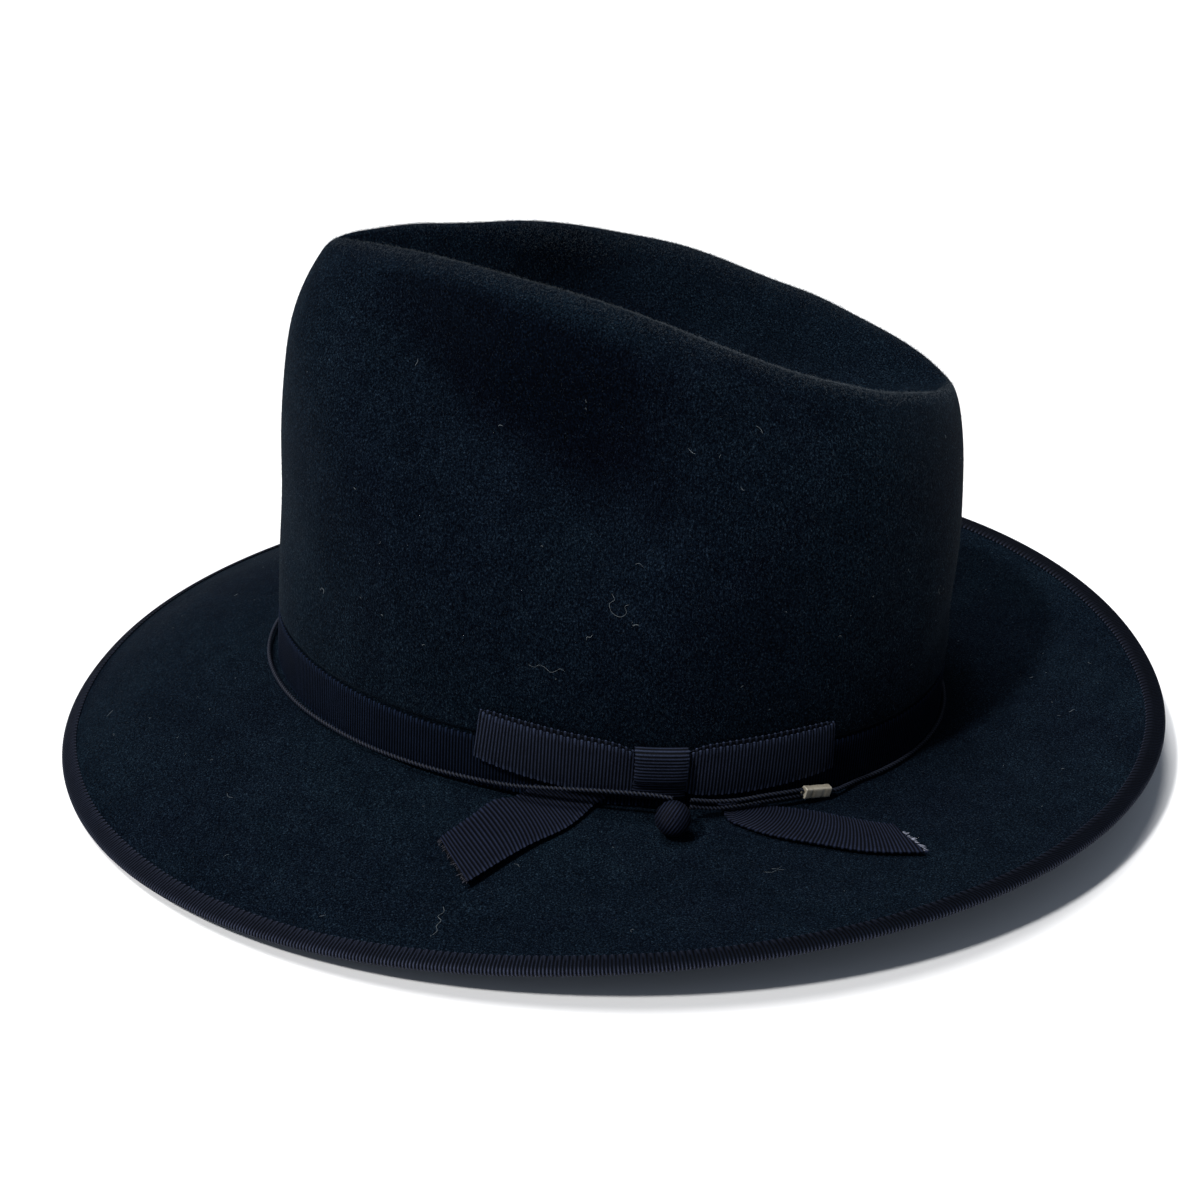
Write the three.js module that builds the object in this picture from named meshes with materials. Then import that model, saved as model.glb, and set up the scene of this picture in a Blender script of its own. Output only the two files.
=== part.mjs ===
// A black fur-felt fedora with a bound brim edge, a narrow grosgrain ribbon with a flat bow and two
// free tails, and a thin wind cord round the ribbon that ends in a cloth-covered button and is joined
// by a small brass ferrule. The felt crown and brim are one piece of felt.
// Millimetres, +Z up. The hat stands on its brim on z = 0, front towards -Y, wearer's left towards +X.
// The form is worked out in the hat's own frame, whose z = 0 is the line where the brim meets the
// crown, and is then pitched back and lifted, because the snapped-down front edge and the back of the
// head opening are what the hat rests on.
import * as THREE from "three";

// ---- driving sizes -------------------------------------------------------------------------
const HEAD_HALF_LENGTH = 104.7; // outside of the felt where brim and crown meet, front to back
const HEAD_HALF_WIDTH = 82.0; // the same, side to side
const HEAD_LINE_DIP_BACK = 1.2; // how far the head line sinks at the back
const BRIM_WIDTH = 64.8; // at the sides
const BRIM_SHORTER_FRONT = 1.4;
const BRIM_SHORTER_BACK = 4.4;
const BRIM_SQUARENESS = 2.07; // exponent of the brim's outline, 2 is an ellipse
const FELT = 2.0; // felt thickness
const FELT_AT_EDGE = 1.1; // felt thickness inside the binding
const PITCH_DEG = 4.0; // the hat leans back this much where it stands
const GAP = 0.3; // between neighbouring pieces
const RIBBON = 1.0; // ribbon thickness
const BAND_WIDTH = 15.0;
const BAND_BOTTOM = 0.7;
const BINDING_WIDTH = 5.0;
const BINDING_GAP = 0.35;
const RIBBON_PRESS = 1.2; // how far the tight ribbon presses the felt in
const CORD_DIAMETER = 1.3;
const BUTTON_RADIUS = 4.7;
const FERRULE = { length: 8.4, height: 3.3, depth: 2.4 };
const KNOT_ANGLE_DEG = 100.2; // where the bow's knot sits, measured from the front round the left side
const KNOT_WIDTH = 14.6;
const AROUND = 64; // sections round the hat

// ---- tables --------------------------------------------------------------------------------
// The crease ridge on top of the crown, by angle from the front: half width, place along Y, height.
const RIDGE = [
  { deg: 0, half: 0, y: -84, z: 125.4 },
  { deg: 15, half: 4.2, y: -81.0, z: 126.1 },
  { deg: 30, half: 8.9, y: -72.3, z: 126.9 },
  { deg: 45, half: 16.5, y: -58.4, z: 127.7 },
  { deg: 60, half: 26.5, y: -40.3, z: 127.6 },
  { deg: 75, half: 36.0, y: -19.1, z: 126.2 },
  { deg: 90, half: 43.3, y: 3.5, z: 122.5 },
  { deg: 105, half: 47.0, y: 26.1, z: 116.5 },
  { deg: 120, half: 45.6, y: 47.3, z: 110.3 },
  { deg: 135, half: 38.5, y: 65.4, z: 105.5 },
  { deg: 150, half: 25.3, y: 79.3, z: 102.2 },
  { deg: 165, half: 11.5, y: 88.0, z: 99.4 },
  { deg: 180, half: 0, y: 91.0, z: 98.2 },
];
// Crown wall, one row a section from the head line to the ridge: share of the height, and the share
// of the way inwards to the ridge at the front, the side and the back.
const WALL = [
  { row: 0, up: 0, front: 0, side: 0, back: 0 },
  { row: 1, up: 0.12, front: 0.045, side: 0.012, back: 0.06 },
  { row: 2, up: 0.28, front: 0.105, side: 0.04, back: 0.13 },
  { row: 3, up: 0.44, front: 0.165, side: 0.085, back: 0.2 },
  { row: 4, up: 0.58, front: 0.21, side: 0.15, back: 0.275 },
  { row: 5, up: 0.7, front: 0.27, side: 0.25, back: 0.37 },
  { row: 6, up: 0.8, front: 0.37, side: 0.38, back: 0.48 },
  { row: 7, up: 0.88, front: 0.52, side: 0.53, back: 0.61 },
  { row: 8, up: 0.945, front: 0.7, side: 0.7, back: 0.75 },
  { row: 9, up: 0.985, front: 0.86, side: 0.86, back: 0.89 },
  { row: 10, up: 1, front: 1, side: 1, back: 1 },
];
// Bottom of the centre crease, front to back.
const CREASE = [
  { y: -77, z: 122.5 },
  { y: -60, z: 113.5 },
  { y: -40, z: 104.5 },
  { y: -15, z: 97.5 },
  { y: 15, z: 92.5 },
  { y: 40, z: 89.5 },
  { y: 58, z: 88.5 },
  { y: 70, z: 90.2 },
  { y: 80, z: 95.2 },
];
// Crease wall: share of the way in from the ridge, and share of the depth reached there.
const CREASE_WALL = [
  { row: 0, inwards: 0, down: 0 },
  { row: 1, inwards: 0.12, down: 0.06 },
  { row: 2, inwards: 0.27, down: 0.29 },
  { row: 3, inwards: 0.45, down: 0.62 },
  { row: 4, inwards: 0.7, down: 0.92 },
  { row: 5, inwards: 1, down: 1 },
];
// The two pinched side dents: a deep hollow under each ridge. Round the crown, in degrees: the row
// where it is deepest, the row where it starts at the top, and its depth in millimetres.
const SIDE_DENT = [
  { deg: 40, deepest: 7.7, top: 8.6 },
  { deg: 51, deepest: 6.9, top: 8.75 },
  { deg: 63.5, deepest: 5.9, top: 8.7 },
  { deg: 76.5, deepest: 5.35, top: 8.45 },
  { deg: 84, deepest: 5.0, top: 8.3 },
  { deg: 91, deepest: 4.85, top: 8.2 },
  { deg: 104, deepest: 4.8, top: 7.7 },
];
const SIDE_DENT_DEPTH = [
  { deg: 30, depth: 0 },
  { deg: 40, depth: 3.2 },
  { deg: 50, depth: 11 },
  { deg: 62, depth: 15.5 },
  { deg: 76, depth: 17 },
  { deg: 86, depth: 16.5 },
  { deg: 94, depth: 11.5 },
  { deg: 103, depth: 3 },
  { deg: 112, depth: 0 },
];
// From the deepest row up to the top row: share of the way, and share of the depth.
const SIDE_DENT_FALL = [[0, 1], [0.1, 0.97], [0.3, 0.8], [0.5, 0.56], [0.7, 0.3], [0.86, 0.09], [0.95, 0.02], [1, 0]];
const SIDE_DENT_BELOW = 2; // rows over which it comes out again below
// Where the crease falls steeply just inside its edge: middle and width in degrees.
const STEEP_CREASE = { deg: 73, wide: 13 };
// Brim edge height above the head line, as a mean and three waves round the hat.
const BRIM_EDGE_WAVES = { mean: -0.72, once: -20.26, twice: -1.35, thrice: 1.49 };
// Brim rings from the bound edge in to the crown: share of the brim's width.
const BRIM_RINGS = [0.984, 0.93, 0.82, 0.67, 0.5, 0.33, 0.16, 0.045];
const FOOT_RINGS = [7, 15.7, 17.6]; // heights: behind the ribbon, at its top edge and just over it
const WALL_RINGS = [2.2, 3.2, 4.1, 4.9, 5.6, 6.3, 7, 7.7, 8.3, 9, 10];
const CREASE_RINGS = [1, 2, 3, 4, 5];

// ---- small helpers -------------------------------------------------------------------------
const rad = THREE.MathUtils.degToRad;
const v3 = (x, y, z) => new THREE.Vector3(x, y, z);
const clamp01 = (t) => Math.min(1, Math.max(0, t));
const smooth = (t) => { const c = clamp01(t); return c * c * (3 - 2 * c); };
// A smooth line through table rows that never overshoots between them.
function through(xs, ys) {
  const n = xs.length, h = [], d = [], m = new Array(n).fill(0);
  for (let i = 0; i < n - 1; i++) { h.push(xs[i + 1] - xs[i]); d.push((ys[i + 1] - ys[i]) / h[i]); }
  m[0] = d[0]; m[n - 1] = d[n - 2];
  for (let i = 1; i < n - 1; i++)
    if (d[i - 1] * d[i] > 0) {
      const a = 2 * h[i] + h[i - 1], b = h[i] + 2 * h[i - 1];
      m[i] = (a + b) / (a / d[i - 1] + b / d[i]);
    }
  return (x) => {
    if (x <= xs[0]) return ys[0];
    if (x >= xs[n - 1]) return ys[n - 1];
    let i = 0;
    while (x > xs[i + 1]) i++;
    const t = (x - xs[i]) / h[i], t2 = t * t, t3 = t2 * t;
    return (2 * t3 - 3 * t2 + 1) * ys[i] + (t3 - 2 * t2 + t) * h[i] * m[i] + (3 * t2 - 2 * t3) * ys[i + 1] + (t3 - t2) * h[i] * m[i + 1];
  };
}
const column = (rows, key) => rows.map((r) => r[key]);
// Ridge columns mirrored past the front and the back, so that they run smoothly there too.
function mirrored(key, odd) {
  const s = odd ? -1 : 1, body = RIDGE, xs = [], ys = [];
  for (const r of [body[2], body[1]]) { xs.push(-r.deg); ys.push(s * r[key]); }
  for (const r of body) { xs.push(r.deg); ys.push(r[key]); }
  for (const r of [body[body.length - 2], body[body.length - 3]]) { xs.push(360 - r.deg); ys.push(s * r[key]); }
  return through(xs, ys);
}
const ridgeHalf = mirrored("half", true), ridgeY = mirrored("y", false), ridgeZ = mirrored("z", false);
const wallUp = through(column(WALL, "row"), column(WALL, "up"));
const wallFront = through(column(WALL, "row"), column(WALL, "front"));
const wallSide = through(column(WALL, "row"), column(WALL, "side"));
const wallBack = through(column(WALL, "row"), column(WALL, "back"));
const dentLow = through(column(SIDE_DENT, "deg"), column(SIDE_DENT, "deepest"));
const dentTop = through(column(SIDE_DENT, "deg"), column(SIDE_DENT, "top"));
const dentDepth = through(column(SIDE_DENT_DEPTH, "deg"), column(SIDE_DENT_DEPTH, "depth"));
const dentFall = through(column(SIDE_DENT_FALL, 0), column(SIDE_DENT_FALL, 1));
const creaseZ = through(column(CREASE, "y"), column(CREASE, "z"));
const creaseIn = through(column(CREASE_WALL, "row"), column(CREASE_WALL, "inwards"));
const creaseDown = through(column(CREASE_WALL, "row"), column(CREASE_WALL, "down"));
const CREASE_FRONT = CREASE[0].y, CREASE_BACK = CREASE[CREASE.length - 1].y;

// ---- the hat's form, in the hat's own frame ------------------------------------------------
// a: angle from the front, positive round the wearer's left.
function outwards(a) {
  return v3(Math.sin(a) / HEAD_HALF_WIDTH, -Math.cos(a) / HEAD_HALF_LENGTH, 0).normalize();
}
function headLine(a, off = 0) {
  const dip = HEAD_LINE_DIP_BACK * Math.max(0, -Math.cos(a)) ** 2;
  return v3(HEAD_HALF_WIDTH * Math.sin(a), -HEAD_HALF_LENGTH * Math.cos(a), -dip).addScaledVector(outwards(a), off);
}
// Where the felt itself turns from brim to crown, pressed in by the tight ribbon.
const foot = (a) => headLine(a, -RIBBON_PRESS);
function brimEdge(a) {
  const c = Math.cos(a), s = Math.sin(a), n = BRIM_SQUARENESS;
  const r = Math.pow(Math.pow(Math.abs(c), n) + Math.pow(Math.abs(s), n), -1 / n);
  const y = -(HEAD_HALF_LENGTH + BRIM_WIDTH) * c * r + BRIM_SHORTER_FRONT * Math.max(0, c) - BRIM_SHORTER_BACK * Math.max(0, -c);
  const w = BRIM_EDGE_WAVES;
  return v3((HEAD_HALF_WIDTH + BRIM_WIDTH) * s * r, y, w.mean + w.once * c + w.twice * Math.cos(2 * a) + w.thrice * Math.cos(3 * a));
}
// Top of the brim: q is 0 at the crown and 1 at the edge.
function brimTop(a, q) {
  const b = foot(a), e = brimEdge(a), c = Math.cos(a), s = Math.sin(a);
  const fall = 1.45 + 0.65 * Math.max(0, c) + 0.35 * Math.max(0, -c); // front and back bend late, the sides early
  const z = b.z * (1 - smooth(q * 2)) + e.z * Math.pow(q, fall) - 1.2 * Math.sin(Math.PI * q) * s * s + (FELT_AT_EDGE / 2) * smooth(q);
  return v3(b.x + (e.x - b.x) * q, b.y + (e.y - b.y) * q, z);
}
function brimNormal(a, q) {
  const u = brimTop(a, Math.min(1, q + 0.01)).sub(brimTop(a, q - 0.01)), w = brimTop(a + 0.01, q).sub(brimTop(a - 0.01, q));
  return w.cross(u).normalize().multiplyScalar(-1);
}
function ridge(a) {
  let d = THREE.MathUtils.radToDeg(a) % 360;
  if (d > 180) d -= 360;
  const s = d < 0 ? -1 : 1;
  return v3(s * ridgeHalf(Math.abs(d)), ridgeY(Math.abs(d)), ridgeZ(Math.abs(d)));
}
function plainWall(a, row) {
  const b = headLine(a), r = ridge(a), c = Math.cos(a), s = Math.sin(a);
  const f = Math.max(0, c) ** 2, k = Math.max(0, -c) ** 2;
  const m = f * wallFront(row) + s * s * wallSide(row) + k * wallBack(row);
  const up = (r.z - b.z) * wallUp(row);
  const press = RIBBON_PRESS * (1 - smooth((up - BAND_BOTTOM - BAND_WIDTH) / 1.9));
  return v3(b.x + (r.x - b.x) * m, b.y + (r.y - b.y) * m, b.z + up).addScaledVector(outwards(a), -press);
}
// The wall row that lies at this height above the head line.
function rowAt(a, height) {
  const full = ridge(a).z - headLine(a).z;
  let lo = 0, hi = 4;
  for (let i = 0; i < 30; i++) { const mid = (lo + hi) / 2; if (wallUp(mid) * full < height) lo = mid; else hi = mid; }
  return (lo + hi) / 2;
}
// How far the side dents press the wall in at this angle and row.
const degreesOff = (a) => Math.abs(THREE.MathUtils.radToDeg(Math.atan2(Math.sin(a), Math.cos(a))));
function dent(a, row) {
  const d = degreesOff(a), low = dentLow(d), top = dentTop(d);
  const share = row > low ? dentFall(clamp01((row - low) / (top - low))) : Math.exp(-(((low - row) / SIDE_DENT_BELOW) ** 2));
  return dentDepth(d) * share;
}
function wall(a, row) {
  const p = plainWall(a, row), by = dent(a, row);
  if (by < 1e-4) return p;
  const u = plainWall(a, Math.min(10, row + 0.05)).sub(plainWall(a, Math.max(0, row - 0.05)));
  const w = plainWall(a + 0.01, row).sub(plainWall(a - 0.01, row));
  return p.addScaledVector(w.cross(u).normalize(), -by);
}
function crease(a, row) {
  const r = ridge(a), c = Math.cos(a);
  const y = (CREASE_FRONT + CREASE_BACK) / 2 - ((CREASE_BACK - CREASE_FRONT) / 2) * c;
  const steep = Math.exp(-(((degreesOff(a) - STEEP_CREASE.deg) / STEEP_CREASE.wide) ** 2)) * Math.sin((Math.PI * row) / 5) ** 1.2;
  const m = creaseIn(row) * (1 - 0.42 * steep), down = creaseDown(row);
  const z = r.z + (creaseZ(y) - r.z) * (down + (1 - down) * 0.34 * steep);
  return v3(r.x * (1 - m), r.y + (y - r.y) * m, z);
}
// A point beside the crown's foot: height above the head line and distance out from the felt.
function besideFoot(a, z, off) {
  const p = plainWall(a, rowAt(a, Math.min(z, BAND_BOTTOM + BAND_WIDTH)));
  return v3(p.x, p.y, z + headLine(a).z).addScaledVector(outwards(a), off);
}

// ---- from the hat's frame to the floor -----------------------------------------------------
const PITCH = rad(PITCH_DEG);
const SHIFT_Y = 1.4, LIFT = 9.8;
function onFloor(p) {
  const y = p.y * Math.cos(PITCH) + p.z * Math.sin(PITCH) + SHIFT_Y;
  const z = -p.y * Math.sin(PITCH) + p.z * Math.cos(PITCH) + LIFT;
  return v3(p.x, y, z < 0 ? 0 : z); // the felt gives a little and lies flat where it rests
}

// ---- mesh makers ---------------------------------------------------------------------------
function meshOf(points, triangles) {
  const g = new THREE.BufferGeometry();
  g.setAttribute("position", new THREE.Float32BufferAttribute(points.flatMap((p) => [p.x, p.y, p.z]), 3));
  g.setIndex(triangles);
  g.computeVertexNormals();
  return g;
}
// Joins sections of equal length, each a closed loop of points. closed joins the last to the first.
function loft(sections, closed) {
  const m = sections[0].length, pts = sections.flat(), tri = [], n = sections.length;
  for (let i = 0; i < (closed ? n : n - 1); i++)
    for (let j = 0; j < m; j++) {
      const a = i * m + j, b = i * m + ((j + 1) % m), c = ((i + 1) % n) * m + j, d = ((i + 1) % n) * m + ((j + 1) % m);
      tri.push(a, c, b, b, c, d);
    }
  if (!closed)
    for (const [s, flip] of [[0, false], [n - 1, true]]) {
      const flat = THREE.ShapeUtils.triangulateShape(flatten(sections[s]), []);
      for (const [x, y, z] of flat) tri.push(s * m + x, s * m + (flip ? z : y), s * m + (flip ? y : z));
    }
  return orient(meshOf(pts, tri));
}
// A section's points in its own plane, for the end caps.
function flatten(loop) {
  const o = loop[0].clone(), n = v3(0, 0, 0);
  loop.forEach((p, i) => n.add(p.clone().sub(o).cross(loop[(i + 1) % loop.length].clone().sub(o))));
  n.normalize();
  const u = loop.map((p) => p.clone().sub(o)).reduce((x, y) => (y.length() > x.length() ? y : x)).normalize();
  const w = n.clone().cross(u);
  return loop.map((p) => new THREE.Vector2(p.clone().sub(o).dot(u), p.clone().sub(o).dot(w)));
}
// Turns a closed mesh so that its faces point out.
function orient(g) {
  const p = g.getAttribute("position"), ix = g.getIndex().array, a = v3(), b = v3(), c = v3();
  let vol = 0;
  for (let i = 0; i < ix.length; i += 3) {
    a.fromBufferAttribute(p, ix[i]); b.fromBufferAttribute(p, ix[i + 1]); c.fromBufferAttribute(p, ix[i + 2]);
    vol += a.dot(b.clone().cross(c));
  }
  if (vol < 0) for (let i = 0; i < ix.length; i += 3) [ix[i + 1], ix[i + 2]] = [ix[i + 2], ix[i + 1]];
  g.computeVertexNormals();
  return g;
}

// ---- felt body: crown and brim, one wall of felt -------------------------------------------
function feltGeometry() {
  const N = AROUND, ang = (k) => (2 * Math.PI * k) / N;
  const rings = [];
  const thick = [];
  for (const q of BRIM_RINGS) { rings.push((a) => brimTop(a, q)); thick.push(FELT_AT_EDGE + (FELT - FELT_AT_EDGE) * smooth((0.95 - q) / 0.12)); }
  const corner = rings.length;
  rings.push(foot); thick.push(FELT);
  for (const h of FOOT_RINGS) { rings.push((a) => wall(a, rowAt(a, h))); thick.push(FELT); }
  for (const w of WALL_RINGS) { rings.push((a) => wall(a, w)); thick.push(FELT); }
  for (const w of CREASE_RINGS) { rings.push((a) => crease(a, w)); thick.push(FELT); }
  const R = rings.length, grid = rings.map((f) => Array.from({ length: N }, (_, k) => f(ang(k))));
  const normal = (r, k, lo, hi) => {
    const u = grid[hi][k].clone().sub(grid[lo][k]);
    const w = grid[r][(k + 1) % N].clone().sub(grid[r][(k + N - 1) % N]);
    return w.cross(u).normalize();
  };
  const under = grid.map((ring, r) => ring.map((p, k) => {
    let n;
    if (r === corner) {
      // the inner corner keeps the full thickness both ways
      const a = normal(r, k, r - 1, r), b = normal(r, k, r, r + 1);
      n = a.clone().add(b).multiplyScalar(1 / (1 + a.dot(b)));
    } else if (r === R - 1) {
      const along = grid[r][(k + 1) % N].clone().sub(grid[r][(k + N - 1) % N]);
      if (k === 0 || k === N / 2) along.copy(grid[r][N / 2].clone().sub(grid[r][0]));
      along.x = 0;
      n = v3(0, -along.z, along.y).multiplyScalar(along.y < 0 ? -1 : 1).normalize();
    } else n = normal(r, k, Math.max(0, r - 1), r + 1);
    return p.clone().addScaledVector(n, -thick[r]);
  }));
  // The last ring lies on the crease's bottom line, where left and right meet.
  const pts = [], idx = (layer, r, k) => layer * 100000 + r * N + k, at = new Map();
  const put = (key, p) => { at.set(key, pts.length); pts.push(onFloor(p)); };
  [grid, under].forEach((g, layer) => g.forEach((ring, r) => ring.forEach((p, k) => {
    if (r === R - 1 && k > N / 2) at.set(idx(layer, r, k), at.get(idx(layer, r, N - k)));
    else if (r === R - 1) put(idx(layer, r, k), v3(0, p.y, p.z));
    else put(idx(layer, r, k), p);
  })));
  const tri = [], id = (l, r, k) => at.get(idx(l, r, (k + N) % N));
  const face = (x, y, z) => { if (x !== y && y !== z && x !== z) tri.push(x, y, z); };
  for (let layer = 0; layer < 2; layer++)
    for (let r = 0; r < R - 1; r++)
      for (let k = 0; k < N; k++) {
        const a = id(layer, r, k), b = id(layer, r, k + 1), c = id(layer, r + 1, k), d = id(layer, r + 1, k + 1);
        // the split of each four-sided face is mirrored left and right
        const faces = k < N / 2 ? [[a, b, d], [a, d, c]] : [[a, b, c], [b, d, c]];
        for (const [x, y, z] of faces) layer ? face(x, z, y) : face(x, y, z);
      }
  for (let k = 0; k < N; k++) {
    const a = id(0, 0, k), b = id(0, 0, k + 1), c = id(1, 0, k), d = id(1, 0, k + 1);
    face(a, c, b); face(b, c, d);
  }
  return orient(meshOf(pts, tri));
}

// ---- brim binding: ribbon folded over the edge ---------------------------------------------
function bindingGeometry() {
  const sections = [], half = FELT_AT_EDGE / 2 + BINDING_GAP, N = AROUND;
  for (let i = 0; i < N; i++) {
    const a = (2 * Math.PI * i) / N, n = brimNormal(a, 0.96);
    const e = brimTop(a, 1).addScaledVector(n, -FELT_AT_EDGE / 2);
    const mid = brimTop(a, 1 - BINDING_WIDTH / BRIM_WIDTH).addScaledVector(n, -FELT_AT_EDGE / 2);
    const u = e.clone().sub(mid).normalize(); // outwards along the brim
    const t = brimEdge(a + 0.01).sub(brimEdge(a - 0.01)).normalize();
    const w = t.clone().cross(u).normalize(); // off the brim's face
    if (w.z < 0) w.negate();
    const at = (along, up) => onFloor(e.clone().addScaledVector(u, along).addScaledVector(w, up));
    const o = half + RIBBON, back = -BINDING_WIDTH;
    sections.push([
      at(back, half), at(back, o), at(-1.0, o), at(-0.2, o * 0.6), at(0, 0), at(-0.2, -o * 0.6), at(-1.0, -o), at(back, -o), at(back, -half), at(-0.8, -half), at(-0.8, half),
    ]);
  }
  return loft(sections, true);
}

// ---- hat band ------------------------------------------------------------------------------
function bandGeometry() {
  const sections = [];
  for (let i = 0; i < AROUND; i++) {
    const a = (2 * Math.PI * i) / AROUND, top = BAND_BOTTOM + BAND_WIDTH, mid = (BAND_BOTTOM + top) / 2;
    const loop = [[BAND_BOTTOM, GAP], [BAND_BOTTOM, GAP + RIBBON], [mid, GAP + RIBBON], [top, GAP + RIBBON], [top, GAP], [mid, GAP]];
    sections.push(loop.map(([z, off]) => onFloor(besideFoot(a, z, off))));
  }
  return loft(sections, true);
}

// ---- the bow -------------------------------------------------------------------------------
// Each loop is a flat double fold of ribbon that runs along the band and rises a little to its end.
// far: distance from the knot's middle along the head line, bottom and top: heights, off: distance
// from the felt to the loop's inner face, thick: both layers and the slack between them.
const LOOP_ROWS = [
  { far: 0.4, bottom: 7.0, top: 18.0, off: 2.9, thick: 1.2 },
  { far: 7.8, bottom: 6.8, top: 18.3, off: 2.9, thick: 1.2 },
  { far: 10, bottom: 6.2, top: 19.6, off: 2.5, thick: 1.5 },
  { far: 15, bottom: 5.9, top: 20.5, off: 1.9, thick: 2.0 },
  { far: 23, bottom: 6.3, top: 21.4, off: 1.7, thick: 2.3 },
  { far: 32, bottom: 7.2, top: 22.4, off: 1.7, thick: 2.3 },
  { far: 41, bottom: 8.4, top: 23.4, off: 1.9, thick: 2.1 },
  { far: 47, bottom: 9.4, top: 24.0, off: 2.2, thick: 1.8 },
  { far: 49.3, bottom: 9.9, top: 24.2, off: 2.5, thick: 1.2 },
];
const LOOP_END_RISE = { front: 1.1, back: -1.0 }; // how much higher each loop's end lies than the table says
// The angle that lies this far along the head line from the knot; towards the front is negative.
function angleAt(distance) {
  let a = rad(KNOT_ANGLE_DEG), left = Math.abs(distance);
  const step = 0.002 * Math.sign(distance || 1);
  while (left > 0) {
    left -= headLine(a + step, 3).sub(headLine(a, 3)).length();
    a += step;
  }
  return a;
}
function bowLoopGeometry(side) {
  const rise = side < 0 ? LOOP_END_RISE.front : LOOP_END_RISE.back;
  const sections = LOOP_ROWS.map((row) => {
    const lift = rise * (row.far / 49.3) ** 2, r = { ...row, bottom: row.bottom + lift, top: row.top + lift };
    const a = angleAt(side * r.far), mid = (r.bottom + r.top) / 2;
    const out = r.off + r.thick;
    return [[r.bottom, r.off], [r.bottom, out - 0.3], [mid, out], [r.top, out - 0.3], [r.top, r.off], [mid, r.off]].map(([z, off]) => onFloor(besideFoot(a, z, off)));
  });
  return loft(sections, false);
}
// The knot: a turn of the same ribbon round the middle of the bow, open right through.
function knotGeometry() {
  const sections = [], n = 5;
  for (let i = 0; i < n; i++) {
    const d = (i / (n - 1) - 0.5) * KNOT_WIDTH, a = angleAt(d);
    const at = ([z, off]) => onFloor(besideFoot(a, z, off));
    sections.push({
      outer: [[5.0, 1.65], [4.6, 2.6], [4.9, 4.2], [6.4, 5.1], [12.4, 5.4], [18.2, 5.1], [19.8, 4.2], [20.1, 2.6], [19.8, 1.65], [12.4, 1.65]].map(at),
      inner: [[6.3, 2.6], [6.0, 3.1], [6.2, 3.9], [7.0, 4.3], [12.4, 4.5], [17.9, 4.3], [18.6, 3.9], [18.9, 3.1], [18.6, 2.6], [12.4, 2.6]].map(at),
    });
  }
  // a tube with a hollow: outside, inside and the two ends
  const m = sections[0].outer.length, pts = [], tri = [];
  for (const s of sections) pts.push(...s.outer, ...s.inner);
  const id = (i, ring, j) => i * 2 * m + ring * m + (j % m);
  for (let i = 0; i < n - 1; i++)
    for (let j = 0; j < m; j++) {
      const a = id(i, 0, j), b = id(i, 0, j + 1), c = id(i + 1, 0, j), d = id(i + 1, 0, j + 1);
      tri.push(a, c, b, b, c, d);
      const e = id(i, 1, j), f = id(i, 1, j + 1), g = id(i + 1, 1, j), h = id(i + 1, 1, j + 1);
      tri.push(e, f, g, f, h, g);
    }
  for (let j = 0; j < m; j++) {
    tri.push(id(0, 0, j), id(0, 0, j + 1), id(0, 1, j), id(0, 0, j + 1), id(0, 1, j + 1), id(0, 1, j));
    const z = n - 1;
    tri.push(id(z, 0, j), id(z, 1, j), id(z, 0, j + 1), id(z, 0, j + 1), id(z, 1, j), id(z, 1, j + 1));
  }
  return orient(meshOf(pts, tri));
}

// ---- the tails: single ribbons that lie on the brim ----------------------------------------
// inX, inY: the ribbon's edge nearer the crown, outX, outY: its other edge, up: height over the brim.
const FRONT_TAIL = [
  { inX: 82.2, inY: -16.1, inUp: 0.6, outX: 84.6, outY: 1.6, outUp: 0.6 },
  { inX: 84.4, inY: -23.4, inUp: 0.6, outX: 92.6, outY: -3.4, outUp: 0.7 },
  { inX: 92.8, inY: -29.4, inUp: 0.9, outX: 102.1, outY: -12.9, outUp: 1.0 },
  { inX: 102.1, inY: -35.6, inUp: 1.4, outX: 117.9, outY: -26.0, outUp: 1.9 },
];
const BACK_TAIL = [
  { inX: 80.4, inY: 37.0, inUp: 0.5, outX: 82.2, outY: 34.6, outUp: 0.6 },
  { inX: 77.9, inY: 47.2, inUp: 0.5, outX: 89.6, outY: 48.2, outUp: 0.7 },
  { inX: 75.8, inY: 57.2, inUp: 0.5, outX: 93.6, outY: 61.6, outUp: 0.9 },
  { inX: 76.4, inY: 68.6, inUp: 0.7, outX: 97.2, outY: 73.6, outUp: 1.1 },
  { inX: 79.0, inY: 80.6, inUp: 1.3, outX: 97.6, outY: 86.8, outUp: 1.2 },
];
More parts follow.
